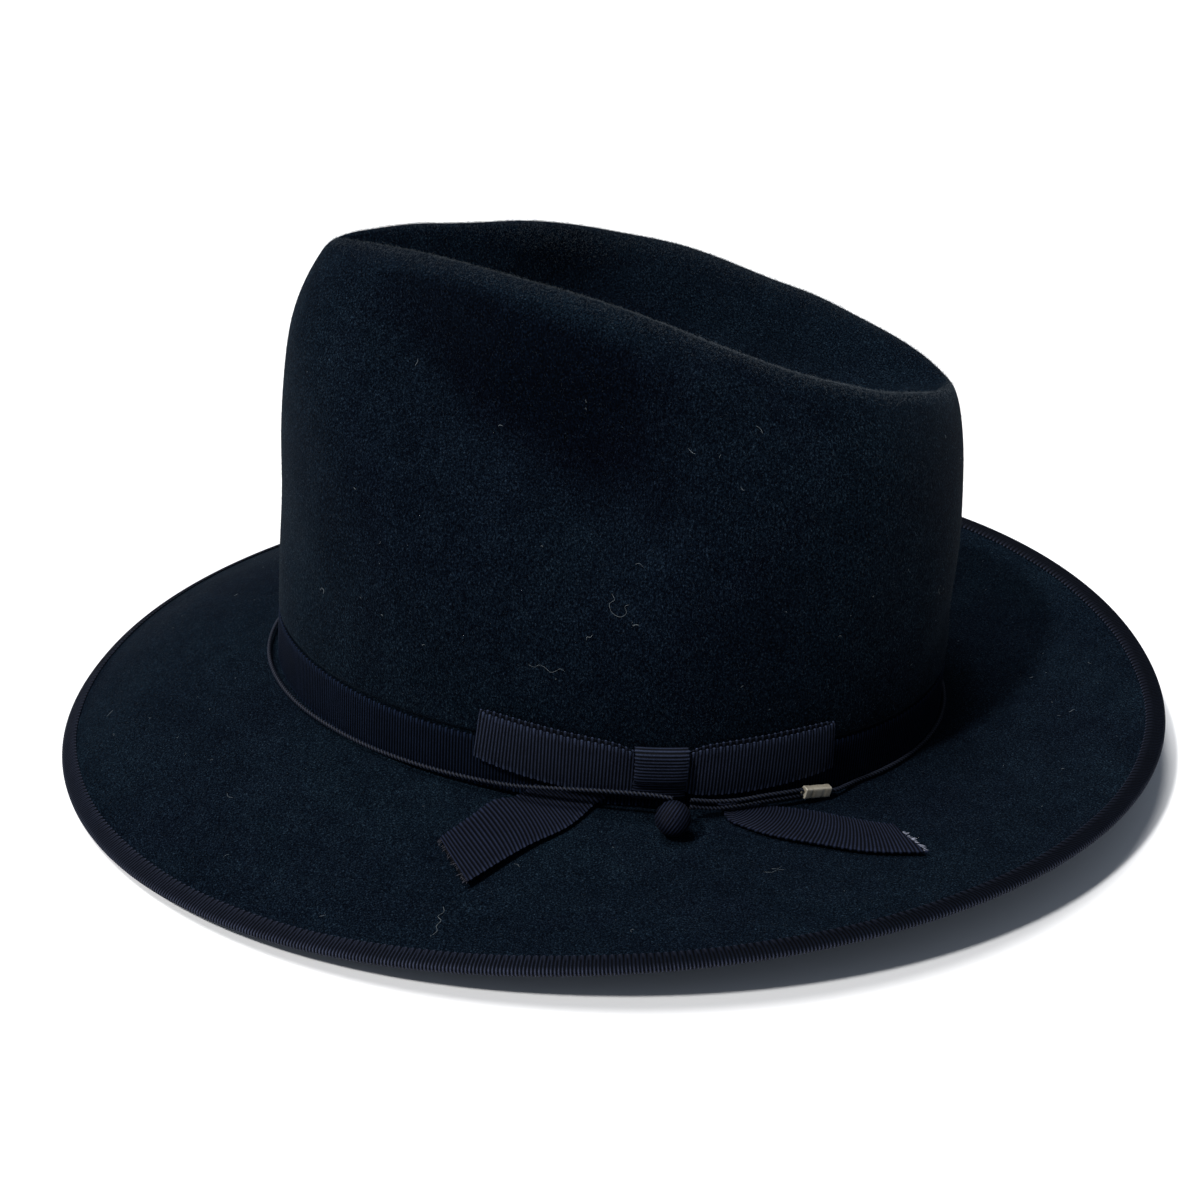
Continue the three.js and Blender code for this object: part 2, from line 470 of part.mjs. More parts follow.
// Height of the brim's top under a point of the plan.
function brimHeight(x, y) {
  let a = Math.atan2(x / HEAD_HALF_WIDTH, -y / HEAD_HALF_LENGTH), q = 0.2;
  for (let i = 0; i < 40; i++) {
    const e = 1e-3, p = brimTop(a, q), pa = brimTop(a + e, q), pq = brimTop(a, q + e);
    const ax = (pa.x - p.x) / e, ay = (pa.y - p.y) / e, qx = (pq.x - p.x) / e, qy = (pq.y - p.y) / e;
    const det = ax * qy - ay * qx, dx = x - p.x, dy = y - p.y;
    a += (dx * qy - dy * qx) / det;
    q = Math.max(0, q + (ax * dy - ay * dx) / det);
  }
  return brimTop(a, q).z;
}
function tailGeometry(rows) {
  const across = 4, steps = 9, s = column(rows.map((r, i) => ({ i })), "i");
  const col = (key) => through(s, column(rows, key));
  const f = Object.fromEntries(["inX", "inY", "inUp", "outX", "outY", "outUp"].map((k) => [k, col(k)]));
  const sections = [];
  for (let i = 0; i <= steps; i++) {
    const t = (i / steps) * (rows.length - 1), low = [], high = [];
    for (let j = 0; j <= across; j++) {
      const m = j / across, x = f.inX(t) * (1 - m) + f.outX(t) * m, y = f.inY(t) * (1 - m) + f.outY(t) * m;
      const z = brimHeight(x, y) + f.inUp(t) * (1 - m) + f.outUp(t) * m;
      low.push(onFloor(v3(x, y, z)));
      high.unshift(onFloor(v3(x, y, z + RIBBON)));
    }
    sections.push([...low, ...high]);
  }
  return loft(sections, false);
}

// ---- wind cord, its closing loop, ferrule and button ---------------------------------------
const BUTTON = { x: 91.6, y: 23.2, z: 5.3 }; // centre of the button
// The cord's height and distance from the felt, by angle: it rides up over the tails at the bow.
const CORD_ROWS = [
  { deg: -225, off: 2.4, z: 1.3 },
  { deg: -60, off: 2.4, z: 1.6 },
  { deg: -20, off: 2.9, z: 1.5 },
  { deg: 15, off: 3.9, z: 1.5 },
  { deg: 32, off: 3.4, z: 1.5 },
  { deg: 48, off: 2.5, z: 1.8 },
  { deg: 64, off: 2.4, z: 2.6 },
  { deg: 72, off: 2.5, z: 3.2 },
  { deg: 77.4, off: 3.5, z: 4.3 },
  { deg: 82, off: 4.9, z: 5.9 },
  { deg: 88, off: 5.3, z: 7.3 },
  { deg: 92, off: 5.6, z: 7.8 },
  { deg: 96, off: 6.3, z: 8.2 },
  { deg: 100, off: 6.9, z: 8.2 },
  { deg: 102, off: 7.3, z: 7.6 },
];
// The two strands between the button's shank and the ferrule.
const STRAND_ROWS = [
  { deg: 104.6, upOff: 6.6, upZ: 6.5, lowOff: 6.6, lowZ: 4.4 },
  { deg: 108.4, upOff: 5.4, upZ: 4.9, lowOff: 5.6, lowZ: 2.9 },
  { deg: 112.2, upOff: 4.9, upZ: 4.5, lowOff: 5.0, lowZ: 2.8 },
  { deg: 116, upOff: 4.6, upZ: 4.8, lowOff: 4.6, lowZ: 3.1 },
  { deg: 119, upOff: 4.5, upZ: 4.8, lowOff: 4.5, lowZ: 3.1 },
];
const FERRULE_DEG = 125.0, FERRULE_OFF = 4.4, FERRULE_Z = 3.2, FERRULE_DROP = 0.7;
function ferruleFrame() {
  const a = rad(FERRULE_DEG), c = besideFoot(a, FERRULE_Z, FERRULE_OFF);
  const along = headLine(a + 0.01).sub(headLine(a - 0.01)).setZ(0).normalize();
  along.z = -FERRULE_DROP / (FERRULE.length / 2); // its far end sits lower
  along.normalize();
  return { c, along, out: outwards(a), up: along.clone().cross(outwards(a)).multiplyScalar(-1).normalize() };
}
function cordTube(points, sides = 8, step = 4.0) {
  const curve = new THREE.CatmullRomCurve3(points.map(onFloor), false, "centripetal");
  const r = CORD_DIAMETER / 2, ring = [];
  for (let i = 0; i < sides; i++) ring.push(new THREE.Vector2(r * Math.cos((2 * Math.PI * i) / sides), r * Math.sin((2 * Math.PI * i) / sides)));
  return new THREE.ExtrudeGeometry(new THREE.Shape(ring), { steps: Math.max(6, Math.min(80, Math.round(curve.getLength() / step))), extrudePath: curve, bevelEnabled: false });
}
function cordGeometry() {
  const off = through(column(CORD_ROWS, "deg"), column(CORD_ROWS, "off"));
  const z = through(column(CORD_ROWS, "deg"), column(CORD_ROWS, "z"));
  const f = ferruleFrame(), points = [];
  for (const d of [GAP, 2.2]) points.push(f.c.clone().addScaledVector(f.along, FERRULE.length / 2 + d));
  for (let d = FERRULE_DEG + 9.5 - 360; d < 100; d += 4.5) points.push(besideFoot(rad(d), z(d), off(d)));
  const last = CORD_ROWS[CORD_ROWS.length - 1];
  points.push(besideFoot(rad(last.deg), last.z, last.off));
  return cordTube(points, 8, 7.8);
}
function strandGeometry(which) {
  const f = ferruleFrame(), h = which === "up" ? 0.82 : -0.82;
  const points = STRAND_ROWS.map((r) => besideFoot(rad(r.deg), r[which + "Z"], r[which + "Off"]));
  points.push(f.c.clone().addScaledVector(f.along, -FERRULE.length / 2 - GAP - 0.1).addScaledVector(f.up, h));
  return cordTube(points, 8, 2.6);
}
function ferruleGeometry() {
  const f = ferruleFrame(), L = FERRULE.length / 2, H = FERRULE.height / 2, D = FERRULE.depth / 2, k = 0.45;
  const ring = [[-D + k, -H], [D - k, -H], [D, -H + k], [D, H - k], [D - k, H], [-D + k, H], [-D, H - k], [-D, -H + k]];
  const sections = [-L, -L * 0.4, L * 0.4, L].map((s, i) => ring.map(([o, u]) => {
    const pinch = i === 1 || i === 2 ? 0.92 : 1; // pressed a little thinner in the middle
    return onFloor(f.c.clone().addScaledVector(f.along, s).addScaledVector(f.out, o * pinch).addScaledVector(f.up, u));
  }));
  return loft(sections, false);
}
// A low dome, round in front and flatter behind, standing on its edge against the bow.
function buttonGeometry() {
  const R = BUTTON_RADIUS, profile = [[0, -0.62], [0.55, -0.62], [0.86, -0.5], [1.0, -0.2], [1.0, 0.08], [0.93, 0.36], [0.76, 0.6], [0.52, 0.76], [0.27, 0.84], [0, 0.87]];
  const g = new THREE.LatheGeometry(profile.map(([r, h]) => new THREE.Vector2(Math.max(0, r * R), h * R)), 20);
  return g;
}

// ---- materials and the assembly ------------------------------------------------------------
const felt = new THREE.MeshStandardMaterial({ color: 0x0b1014, roughness: 0.95, metalness: 0 });
const ribbon = new THREE.MeshStandardMaterial({ color: 0x12131c, roughness: 0.7, metalness: 0 });
const cordCloth = new THREE.MeshStandardMaterial({ color: 0x14151c, roughness: 0.75, metalness: 0 });
const brass = new THREE.MeshStandardMaterial({ color: 0x9c8555, roughness: 0.38, metalness: 1 });

const hat = new THREE.Group();
function add(name, geometry, material) {
  const mesh = new THREE.Mesh(geometry, material);
  mesh.name = name;
  hat.add(mesh);
  return mesh;
}
add("felt_body", feltGeometry(), felt);
add("brim_binding", bindingGeometry(), ribbon);
add("hat_band", bandGeometry(), ribbon);
add("bow_loop_front", bowLoopGeometry(-1), ribbon);
add("bow_loop_back", bowLoopGeometry(1), ribbon);
add("bow_knot", knotGeometry(), ribbon);
add("bow_tail_front", tailGeometry(FRONT_TAIL), ribbon);
add("bow_tail_back", tailGeometry(BACK_TAIL), ribbon);
add("wind_cord", cordGeometry(), cordCloth);
add("cord_strand_upper", strandGeometry("up"), cordCloth);
add("cord_strand_lower", strandGeometry("low"), cordCloth);
add("cord_ferrule", ferruleGeometry(), brass);
const button = add("cord_button", buttonGeometry(), cordCloth);
button.position.copy(onFloor(v3(BUTTON.x, BUTTON.y, BUTTON.z)));
// the dome faces outwards and a little up
button.quaternion.setFromUnitVectors(v3(0, 1, 0), v3(Math.cos(rad(38)), 0.12, Math.sin(rad(38))).normalize());

export default hat;
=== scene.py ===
"""A black fur-felt fedora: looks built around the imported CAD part.

The felt, ribbons, cord, button and ferrule are rebuilt at a finer scale on the same forms that
the CAD source uses, worked out in millimetres in the hat's own frame (z = 0 where brim meets crown,
front towards -Y) and then pitched and lifted onto the floor in the same way.
"""

import math

import bpy
import numpy as np
from mathutils import Matrix, Vector


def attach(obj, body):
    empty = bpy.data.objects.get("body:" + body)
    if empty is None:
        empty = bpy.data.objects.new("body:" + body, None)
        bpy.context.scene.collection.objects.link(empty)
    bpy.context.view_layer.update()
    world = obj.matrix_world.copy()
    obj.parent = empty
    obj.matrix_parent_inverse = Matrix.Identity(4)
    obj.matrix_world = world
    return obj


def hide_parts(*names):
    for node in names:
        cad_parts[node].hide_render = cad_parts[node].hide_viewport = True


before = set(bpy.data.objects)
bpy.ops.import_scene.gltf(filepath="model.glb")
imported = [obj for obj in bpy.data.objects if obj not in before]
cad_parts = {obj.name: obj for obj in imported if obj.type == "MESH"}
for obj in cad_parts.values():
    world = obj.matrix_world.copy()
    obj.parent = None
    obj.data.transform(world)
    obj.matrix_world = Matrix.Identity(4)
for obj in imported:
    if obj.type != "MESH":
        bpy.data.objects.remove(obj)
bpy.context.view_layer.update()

# ---------------------------------------------------------------------------------------------
# sizes and tables, the same as in the CAD source, in millimetres
# ---------------------------------------------------------------------------------------------
HEAD_HALF_LENGTH = 104.7
HEAD_HALF_WIDTH = 82.0
HEAD_LINE_DIP_BACK = 1.2
BRIM_WIDTH = 64.8
BRIM_SHORTER_FRONT = 1.4
BRIM_SHORTER_BACK = 4.4
BRIM_SQUARENESS = 2.07
FELT = 2.0
FELT_AT_EDGE = 1.1
PITCH = math.radians(4.0)
RIBBON = 1.0
BAND_WIDTH = 15.0
BAND_BOTTOM = 0.7
BINDING_WIDTH = 5.0
BINDING_GAP = 0.35
RIBBON_PRESS = 1.2
BUTTON_RADIUS = 4.7
KNOT_ANGLE_DEG = 100.2
KNOT_WIDTH = 14.6
SHIFT_Y, LIFT = 1.4, 9.8
RIB = 0.91  # pitch of the grosgrain's ribs

RIDGE = np.array([
    (0, 0, -84, 125.4), (15, 4.2, -81.0, 126.1), (30, 8.9, -72.3, 126.9), (45, 16.5, -58.4, 127.7),
    (60, 26.5, -40.3, 127.6), (75, 36.0, -19.1, 126.2), (90, 43.3, 3.5, 122.5), (105, 47.0, 26.1, 116.5),
    (120, 45.6, 47.3, 110.3), (135, 38.5, 65.4, 105.5), (150, 25.3, 79.3, 102.2), (165, 11.5, 88.0, 99.4),
    (180, 0, 91.0, 98.2),
])
WALL = np.array([
    (0, 0, 0, 0, 0), (1, 0.12, 0.045, 0.012, 0.06), (2, 0.28, 0.105, 0.04, 0.13), (3, 0.44, 0.165, 0.085, 0.2),
    (4, 0.58, 0.21, 0.15, 0.275), (5, 0.7, 0.27, 0.25, 0.37), (6, 0.8, 0.37, 0.38, 0.48), (7, 0.88, 0.52, 0.53, 0.61),
    (8, 0.945, 0.7, 0.7, 0.75), (9, 0.985, 0.86, 0.86, 0.89), (10, 1, 1, 1, 1),
])
CREASE = np.array([
    (-77, 122.5), (-60, 113.5), (-40, 104.5), (-15, 97.5), (15, 92.5), (40, 89.5), (58, 88.5), (70, 90.2), (80, 95.2),
])
CREASE_WALL = np.array([(0, 0, 0), (1, 0.12, 0.06), (2, 0.27, 0.29), (3, 0.45, 0.62), (4, 0.7, 0.92), (5, 1, 1)])
DENT = np.array([(40, 7.7, 8.6), (51, 6.9, 8.75), (63.5, 5.9, 8.7), (76.5, 5.35, 8.45), (84, 5.0, 8.3), (91, 4.85, 8.2), (104, 4.8, 7.7)])  # degrees, deepest row, top row
DENT_DEPTH = np.array([(30, 0), (40, 3.2), (50, 11.0), (62, 15.5), (76, 17.0), (86, 16.5), (94, 11.5), (103, 3.0), (112, 0)])  # degrees, millimetres
DENT_BELOW = 2.0
STEEP = dict(deg=73, wide=13)  # where the crease falls steeply just inside its edge
EDGE_WAVES = (-0.72, -20.26, -1.35, 1.49)


# ---------------------------------------------------------------------------------------------
# small helpers on arrays
# ---------------------------------------------------------------------------------------------
def through(xs, ys):
    xs, ys = np.asarray(xs, float), np.asarray(ys, float)
    n = len(xs)
    h = np.diff(xs)
    d = np.diff(ys) / h
    m = np.zeros(n)
    m[0], m[-1] = d[0], d[-1]
    for i in range(1, n - 1):
        if d[i - 1] * d[i] > 0:
            a, b = 2 * h[i] + h[i - 1], h[i] + 2 * h[i - 1]
            m[i] = (a + b) / (a / d[i - 1] + b / d[i])

    def f(x):
        x = np.clip(np.asarray(x, float), xs[0], xs[-1])
        i = np.clip(np.searchsorted(xs, x, side="right") - 1, 0, n - 2)
        t = (x - xs[i]) / h[i]
        t2 = t * t
        t3 = t2 * t
        return (2 * t3 - 3 * t2 + 1) * ys[i] + (t3 - 2 * t2 + t) * h[i] * m[i] + (3 * t2 - 2 * t3) * ys[i + 1] + (t3 - t2) * h[i] * m[i + 1]

    return f


def smooth(t):
    t = np.clip(t, 0, 1)
    return t * t * (3 - 2 * t)


def vec(x, y, z):
    x, y, z = np.broadcast_arrays(np.asarray(x, float), np.asarray(y, float), np.asarray(z, float))
    return np.stack([x, y, z], -1)


def unit(v):
    return v / np.maximum(np.linalg.norm(v, axis=-1, keepdims=True), 1e-12)


def mirrored(col, odd):
    s = -1 if odd else 1
    xs = [-RIDGE[2, 0], -RIDGE[1, 0], *RIDGE[:, 0], 360 - RIDGE[-2, 0], 360 - RIDGE[-3, 0]]
    ys = [s * RIDGE[2, col], s * RIDGE[1, col], *RIDGE[:, col], s * RIDGE[-2, col], s * RIDGE[-3, col]]
    return through(xs, ys)


ridge_half, ridge_y, ridge_z = mirrored(1, True), mirrored(2, False), mirrored(3, False)
wall_up, wall_front, wall_side, wall_back = (through(WALL[:, 0], WALL[:, c]) for c in (1, 2, 3, 4))
dent_depth = through(DENT_DEPTH[:, 0], DENT_DEPTH[:, 1])
dent_low, dent_top = through(DENT[:, 0], DENT[:, 1]), through(DENT[:, 0], DENT[:, 2])
dent_fall = through([0, 0.1, 0.3, 0.5, 0.7, 0.86, 0.95, 1.0], [1, 0.97, 0.80, 0.56, 0.30, 0.09, 0.02, 0])
crease_z = through(CREASE[:, 0], CREASE[:, 1])
crease_in, crease_down = through(CREASE_WALL[:, 0], CREASE_WALL[:, 1]), through(CREASE_WALL[:, 0], CREASE_WALL[:, 2])


# ---------------------------------------------------------------------------------------------
# the hat's form; a is the angle from the front, positive round the wearer's left
# ---------------------------------------------------------------------------------------------
def outwards(a):
    return unit(vec(np.sin(a) / HEAD_HALF_WIDTH, -np.cos(a) / HEAD_HALF_LENGTH, 0))


def head_line(a, off=0.0):
    a = np.asarray(a, float)
    dip = HEAD_LINE_DIP_BACK * np.maximum(0, -np.cos(a)) ** 2
    return vec(HEAD_HALF_WIDTH * np.sin(a), -HEAD_HALF_LENGTH * np.cos(a), -dip) + outwards(a) * np.asarray(off, float)[..., None]


def foot(a):
    return head_line(a, np.full(np.shape(a), -RIBBON_PRESS))


def brim_edge(a):
    c, s, n = np.cos(a), np.sin(a), BRIM_SQUARENESS
    r = (np.abs(c) ** n + np.abs(s) ** n) ** (-1 / n)
    y = -(HEAD_HALF_LENGTH + BRIM_WIDTH) * c * r + BRIM_SHORTER_FRONT * np.maximum(0, c) - BRIM_SHORTER_BACK * np.maximum(0, -c)
    m, w1, w2, w3 = EDGE_WAVES
    return vec((HEAD_HALF_WIDTH + BRIM_WIDTH) * s * r, y, m + w1 * c + w2 * np.cos(2 * a) + w3 * np.cos(3 * a))


def brim_top(a, q):
    a, q = np.broadcast_arrays(np.asarray(a, float), np.asarray(q, float))
    b, e, c, s = foot(a), brim_edge(a), np.cos(a), np.sin(a)
    fall = 1.45 + 0.65 * np.maximum(0, c) + 0.35 * np.maximum(0, -c)
    qq = np.maximum(q, 0)
    z = b[..., 2] * (1 - smooth(q * 2)) + e[..., 2] * qq**fall - 1.2 * np.sin(np.pi * q) * s * s + (FELT_AT_EDGE / 2) * smooth(q)
    return vec(b[..., 0] + (e[..., 0] - b[..., 0]) * q, b[..., 1] + (e[..., 1] - b[..., 1]) * q, z)


def brim_normal(a, q):
    u = brim_top(a, np.minimum(1, q + 0.01)) - brim_top(a, q - 0.01)
    w = brim_top(a + 0.01, q) - brim_top(a - 0.01, q)
    return -unit(np.cross(w, u))


def ridge(a):
    d = np.degrees(np.arctan2(np.sin(a), np.cos(a)))
    s = np.where(d < 0, -1.0, 1.0)
    d = np.abs(d)
    return vec(s * ridge_half(d), ridge_y(d), ridge_z(d))


def plain_wall(a, row):
    a, row = np.broadcast_arrays(np.asarray(a, float), np.asarray(row, float))
    b, r, c, s = head_line(a), ridge(a), np.cos(a), np.sin(a)
    m = np.maximum(0, c) ** 2 * wall_front(row) + s * s * wall_side(row) + np.maximum(0, -c) ** 2 * wall_back(row)
    up = (r[..., 2] - b[..., 2]) * wall_up(row)
    press = RIBBON_PRESS * (1 - smooth((up - BAND_BOTTOM - BAND_WIDTH) / 1.9))
    p = vec(b[..., 0] + (r[..., 0] - b[..., 0]) * m, b[..., 1] + (r[..., 1] - b[..., 1]) * m, b[..., 2] + up)
    return p - outwards(a) * press[..., None]


def row_at(a, height):
    a, height = np.broadcast_arrays(np.asarray(a, float), np.asarray(height, float))
    full = ridge(a)[..., 2] - head_line(a)[..., 2]
    lo, hi = np.zeros(a.shape), np.full(a.shape, 4.0)
    for _ in range(26):
        mid = (lo + hi) / 2
        low = wall_up(mid) * full < height
        lo, hi = np.where(low, mid, lo), np.where(low, hi, mid)
    return (lo + hi) / 2


def dent(a, row):
    d = np.abs(np.degrees(np.arctan2(np.sin(a), np.cos(a))))
    low, top = dent_low(d), dent_top(d)
    above = dent_fall(np.clip((row - low) / (top - low), 0, 1))
    below = np.exp(-((np.maximum(0, low - row) / DENT_BELOW) ** 2))
    return dent_depth(d) * np.where(row > low, above, below)


def wall(a, row):
    a, row = np.broadcast_arrays(np.asarray(a, float), np.asarray(row, float))
    u = plain_wall(a, np.minimum(10, row + 0.05)) - plain_wall(a, np.maximum(0, row - 0.05))
    w = plain_wall(a + 0.01, row) - plain_wall(a - 0.01, row)
    return plain_wall(a, row) - unit(np.cross(w, u)) * dent(a, row)[..., None]


def crease(a, row):
    a, row = np.broadcast_arrays(np.asarray(a, float), np.asarray(row, float))
    r, c = ridge(a), np.cos(a)
    y = (CREASE[0, 0] + CREASE[-1, 0]) / 2 - (CREASE[-1, 0] - CREASE[0, 0]) / 2 * c
    d = np.abs(np.degrees(np.arctan2(np.sin(a), c)))
    steep = np.exp(-(((d - STEEP["deg"]) / STEEP["wide"]) ** 2)) * np.sin(np.pi * np.clip(row / 5, 0, 1)) ** 1.2
    m = crease_in(row) * (1 - 0.42 * steep)
    down = crease_down(row)
    z = r[..., 2] + (crease_z(y) - r[..., 2]) * (down + (1 - down) * 0.34 * steep)
    return vec(r[..., 0] * (1 - m), r[..., 1] + (y - r[..., 1]) * m, z)


def beside_foot(a, z, off):
    a, z, off = np.broadcast_arrays(np.asarray(a, float), np.asarray(z, float), np.asarray(off, float))
    p = plain_wall(a, row_at(a, np.minimum(z, BAND_BOTTOM + BAND_WIDTH)))
    return vec(p[..., 0], p[..., 1], z + head_line(a)[..., 2]) + outwards(a) * off[..., None]


def on_floor(p):
    y = p[..., 1] * math.cos(PITCH) + p[..., 2] * math.sin(PITCH) + SHIFT_Y
    z = -p[..., 1] * math.sin(PITCH) + p[..., 2] * math.cos(PITCH) + LIFT
    return vec(p[..., 0], y, np.maximum(z, 0))


def brim_height(x, y):
    """Height of the brim's top under points of the plan."""
    x, y = np.asarray(x, float), np.asarray(y, float)
    a = np.arctan2(x / HEAD_HALF_WIDTH, -y / HEAD_HALF_LENGTH)
    q = np.full(x.shape, 0.2)
    e = 1e-3
    for _ in range(30):
        p, pa, pq = brim_top(a, q), brim_top(a + e, q), brim_top(a, q + e)
        ax, ay = (pa[..., 0] - p[..., 0]) / e, (pa[..., 1] - p[..., 1]) / e
        qx, qy = (pq[..., 0] - p[..., 0]) / e, (pq[..., 1] - p[..., 1]) / e
        det = ax * qy - ay * qx
        dx, dy = x - p[..., 0], y - p[..., 1]
        a = a + (dx * qy - dy * qx) / det
        q = np.maximum(0, q + (ax * dy - ay * dx) / det)
    return brim_top(a, q)[..., 2]


# arc length along the head line, measured from the knot's middle
_aa = np.linspace(math.radians(KNOT_ANGLE_DEG) - math.pi, math.radians(KNOT_ANGLE_DEG) + math.pi, 8001)
_pp = head_line(_aa, np.full(_aa.shape, 3.0))
_ss = np.concatenate([[0], np.cumsum(np.linalg.norm(np.diff(_pp, axis=0), axis=1))])
_ss = _ss - np.interp(math.radians(KNOT_ANGLE_DEG), _aa, _ss)


def angle_at(distance):
    return np.interp(distance, _ss, _aa)


# ---------------------------------------------------------------------------------------------
# low, broad unevenness of hand-shaped felt
# ---------------------------------------------------------------------------------------------
_rng = np.random.default_rng(11)
_waves = [(unit(_rng.normal(size=3)) * 2 * math.pi / _rng.uniform(26, 62), _rng.uniform(0, 2 * math.pi), _rng.uniform(0.5, 1.0)) for _ in range(14)]


def uneven(p):
    total = np.zeros(p.shape[:-1])
    for k, phase, amp in _waves:
        total += amp * np.sin(p @ k + phase)
    return total / 3.2


# ---------------------------------------------------------------------------------------------
# mesh makers
# ---------------------------------------------------------------------------------------------
def build(name, pts_mm, faces, material, replaces=None, sharp=None, attrs=None):
    """faces is a list of integer arrays, each of one face size. Faces of a closed mesh are turned outwards."""
    pts = np.asarray(pts_mm, float).reshape(-1, 3) * 0.001
    vol = 0.0
    for f in faces:
        for j in range(1, f.shape[1] - 1):
            vol += float(np.einsum("ij,ij->i", pts[f[:, 0]], np.cross(pts[f[:, j]], pts[f[:, j + 1]])).sum())
    if vol < 0:
        faces = [f[:, ::-1] for f in faces]
    me = bpy.data.meshes.new(name)
    me.vertices.add(len(pts))
    me.vertices.foreach_set("co", pts.astype(np.float32).ravel())
    idx = np.concatenate([f.ravel() for f in faces]).astype(np.int32)
    size = np.concatenate([np.full(len(f), f.shape[1], np.int32) for f in faces])
    me.loops.add(len(idx))
    me.loops.foreach_set("vertex_index", idx)
    me.polygons.add(len(size))
    me.polygons.foreach_set("loop_start", (np.cumsum(size) - size).astype(np.int32))
    me.update(calc_edges=True)
    me.shade_smooth()
    if sharp:
        me.set_sharp_from_angle(angle=math.radians(sharp))
    for key, values in (attrs or {}).items():
        layer = me.attributes.new(key, "FLOAT", "POINT")
        layer.data.foreach_set("value", np.asarray(values, np.float32).ravel())
    me.materials.append(material)
    me.validate()
    ob = bpy.data.objects.new(name, me)
    bpy.context.scene.collection.objects.link(ob)
    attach(ob, "root")
    if replaces:
        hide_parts(*replaces)
    return ob


def slab(front, back, wrap=False):
    """Points and quads of a closed sheet from two grids of points (along, across, 3)."""
    n, m = front.shape[:2]
    pts = np.concatenate([front.reshape(-1, 3), back.reshape(-1, 3)])
    i = np.arange(n if wrap else n - 1)
    j = np.arange(m - 1)
    I, J = np.meshgrid(i, j, indexing="ij")
    I2 = (I + 1) % n
    fr = np.stack([I * m + J, I * m + J + 1, I2 * m + J + 1, I2 * m + J], -1).reshape(-1, 4)
    quads = [fr, fr[:, ::-1] + n * m]
    o = n * m
    i2 = (i + 1) % n
    quads.append(np.stack([i * m, i2 * m, i2 * m + o, i * m + o], -1))
    e = m - 1
    quads.append(np.stack([i * m + e, i * m + e + o, i2 * m + e + o, i2 * m + e], -1))
    if not wrap:
        quads.append(np.stack([j, j + o, j + 1 + o, j + 1], -1))
        b = (n - 1) * m
        quads.append(np.stack([b + j, b + j + 1, b + j + 1 + o, b + j + o], -1))
    return pts, np.concatenate(quads)


def tube(sections, wrap=False):
    """Points and faces of rings of points (along, around, 3), with fans at the ends."""
    n, m = sections.shape[:2]
    pts = sections.reshape(-1, 3)
    i = np.arange(n if wrap else n - 1)
    I, J = np.meshgrid(i, np.arange(m), indexing="ij")
    I2, J2 = (I + 1) % n, (J + 1) % m
    quads = np.stack([I * m + J, I * m + J2, I2 * m + J2, I2 * m + J], -1).reshape(-1, 4)
    faces = [quads]
    if not wrap:
        pts = np.concatenate([pts, sections[:1].mean(1), sections[-1:].mean(1)])
        j = np.arange(m)
        j2 = (j + 1) % m
        faces.append(np.stack([j2, j, np.full(m, n * m)], -1))
        faces.append(np.stack([(n - 1) * m + j, (n - 1) * m + j2, np.full(m, n * m + 1)], -1))
    return pts, faces


def frames(points):
    """Tangent and two cross directions that don't twist, along a line of points."""
    t = unit(np.gradient(points, axis=0))
    u = np.zeros_like(t)
    first = np.array([0, 0, 1.0]) if abs(t[0][2]) < 0.9 else np.array([1.0, 0, 0])
    u[0] = unit(np.cross(t[0], np.cross(first, t[0])))
    for i in range(1, len(t)):
        v = u[i - 1] - t[i] * np.dot(u[i - 1], t[i])
        u[i] = v / np.linalg.norm(v)
    return t, u, np.cross(t, u)


def resample(points, step):
    """Points evenly spaced on a smooth line through the given ones."""
    points = np.asarray(points, float)
    k = np.concatenate([[0], np.cumsum(np.linalg.norm(np.diff(points, axis=0), axis=1) ** 0.5)])
    dense = np.linspace(0, k[-1], 40 * len(points))
    out = []
    padded = np.vstack([2 * points[0] - points[1], points, 2 * points[-1] - points[-2]])
    kk = np.concatenate([[-k[1]], k, [k[-1] + k[-1] - k[-2]]])
    seg = np.clip(np.searchsorted(k, dense, side="right") - 1, 0, len(points) - 2)
    for s, t in zip(seg, dense):
        p0, p1, p2, p3 = padded[s : s + 4]
        t0, t1, t2, t3 = kk[s : s + 4]
        a1 = (t1 - t) / (t1 - t0) * p0 + (t - t0) / (t1 - t0) * p1
        a2 = (t2 - t) / (t2 - t1) * p1 + (t - t1) / (t2 - t1) * p2
        a3 = (t3 - t) / (t3 - t2) * p2 + (t - t2) / (t3 - t2) * p3
        b1 = (t2 - t) / (t2 - t0) * a1 + (t - t0) / (t2 - t0) * a2
        b2 = (t3 - t) / (t3 - t1) * a2 + (t - t1) / (t3 - t1) * a3
        out.append((t2 - t) / (t2 - t1) * b1 + (t - t1) / (t2 - t1) * b2)
    out = np.array(out)
    s = np.concatenate([[0], np.cumsum(np.linalg.norm(np.diff(out, axis=0), axis=1))])
    n = max(3, int(round(s[-1] / step)))
    even = np.linspace(0, s[-1], n + 1)
    return np.stack([np.interp(even, s, out[:, c]) for c in range(3)], -1), s[-1]


def rib_profile(phase):
    """Height of a rib from 0 to 1 where phase 0 is the valley."""
    return np.abs(np.sin(np.pi * phase)) ** 0.75


# ---------------------------------------------------------------------------------------------
# materials
# ---------------------------------------------------------------------------------------------
def new_material(name):
    m = bpy.data.materials.new(name)
    m.use_nodes = True
    nt = m.node_tree
    bsdf = nt.nodes["Principled BSDF"]
    return m, nt, bsdf


def node(nt, kind, **inputs):
    n = nt.nodes.new(kind)
    for k, v in inputs.items():
        if hasattr(n, k):
            setattr(n, k, v)
    return n


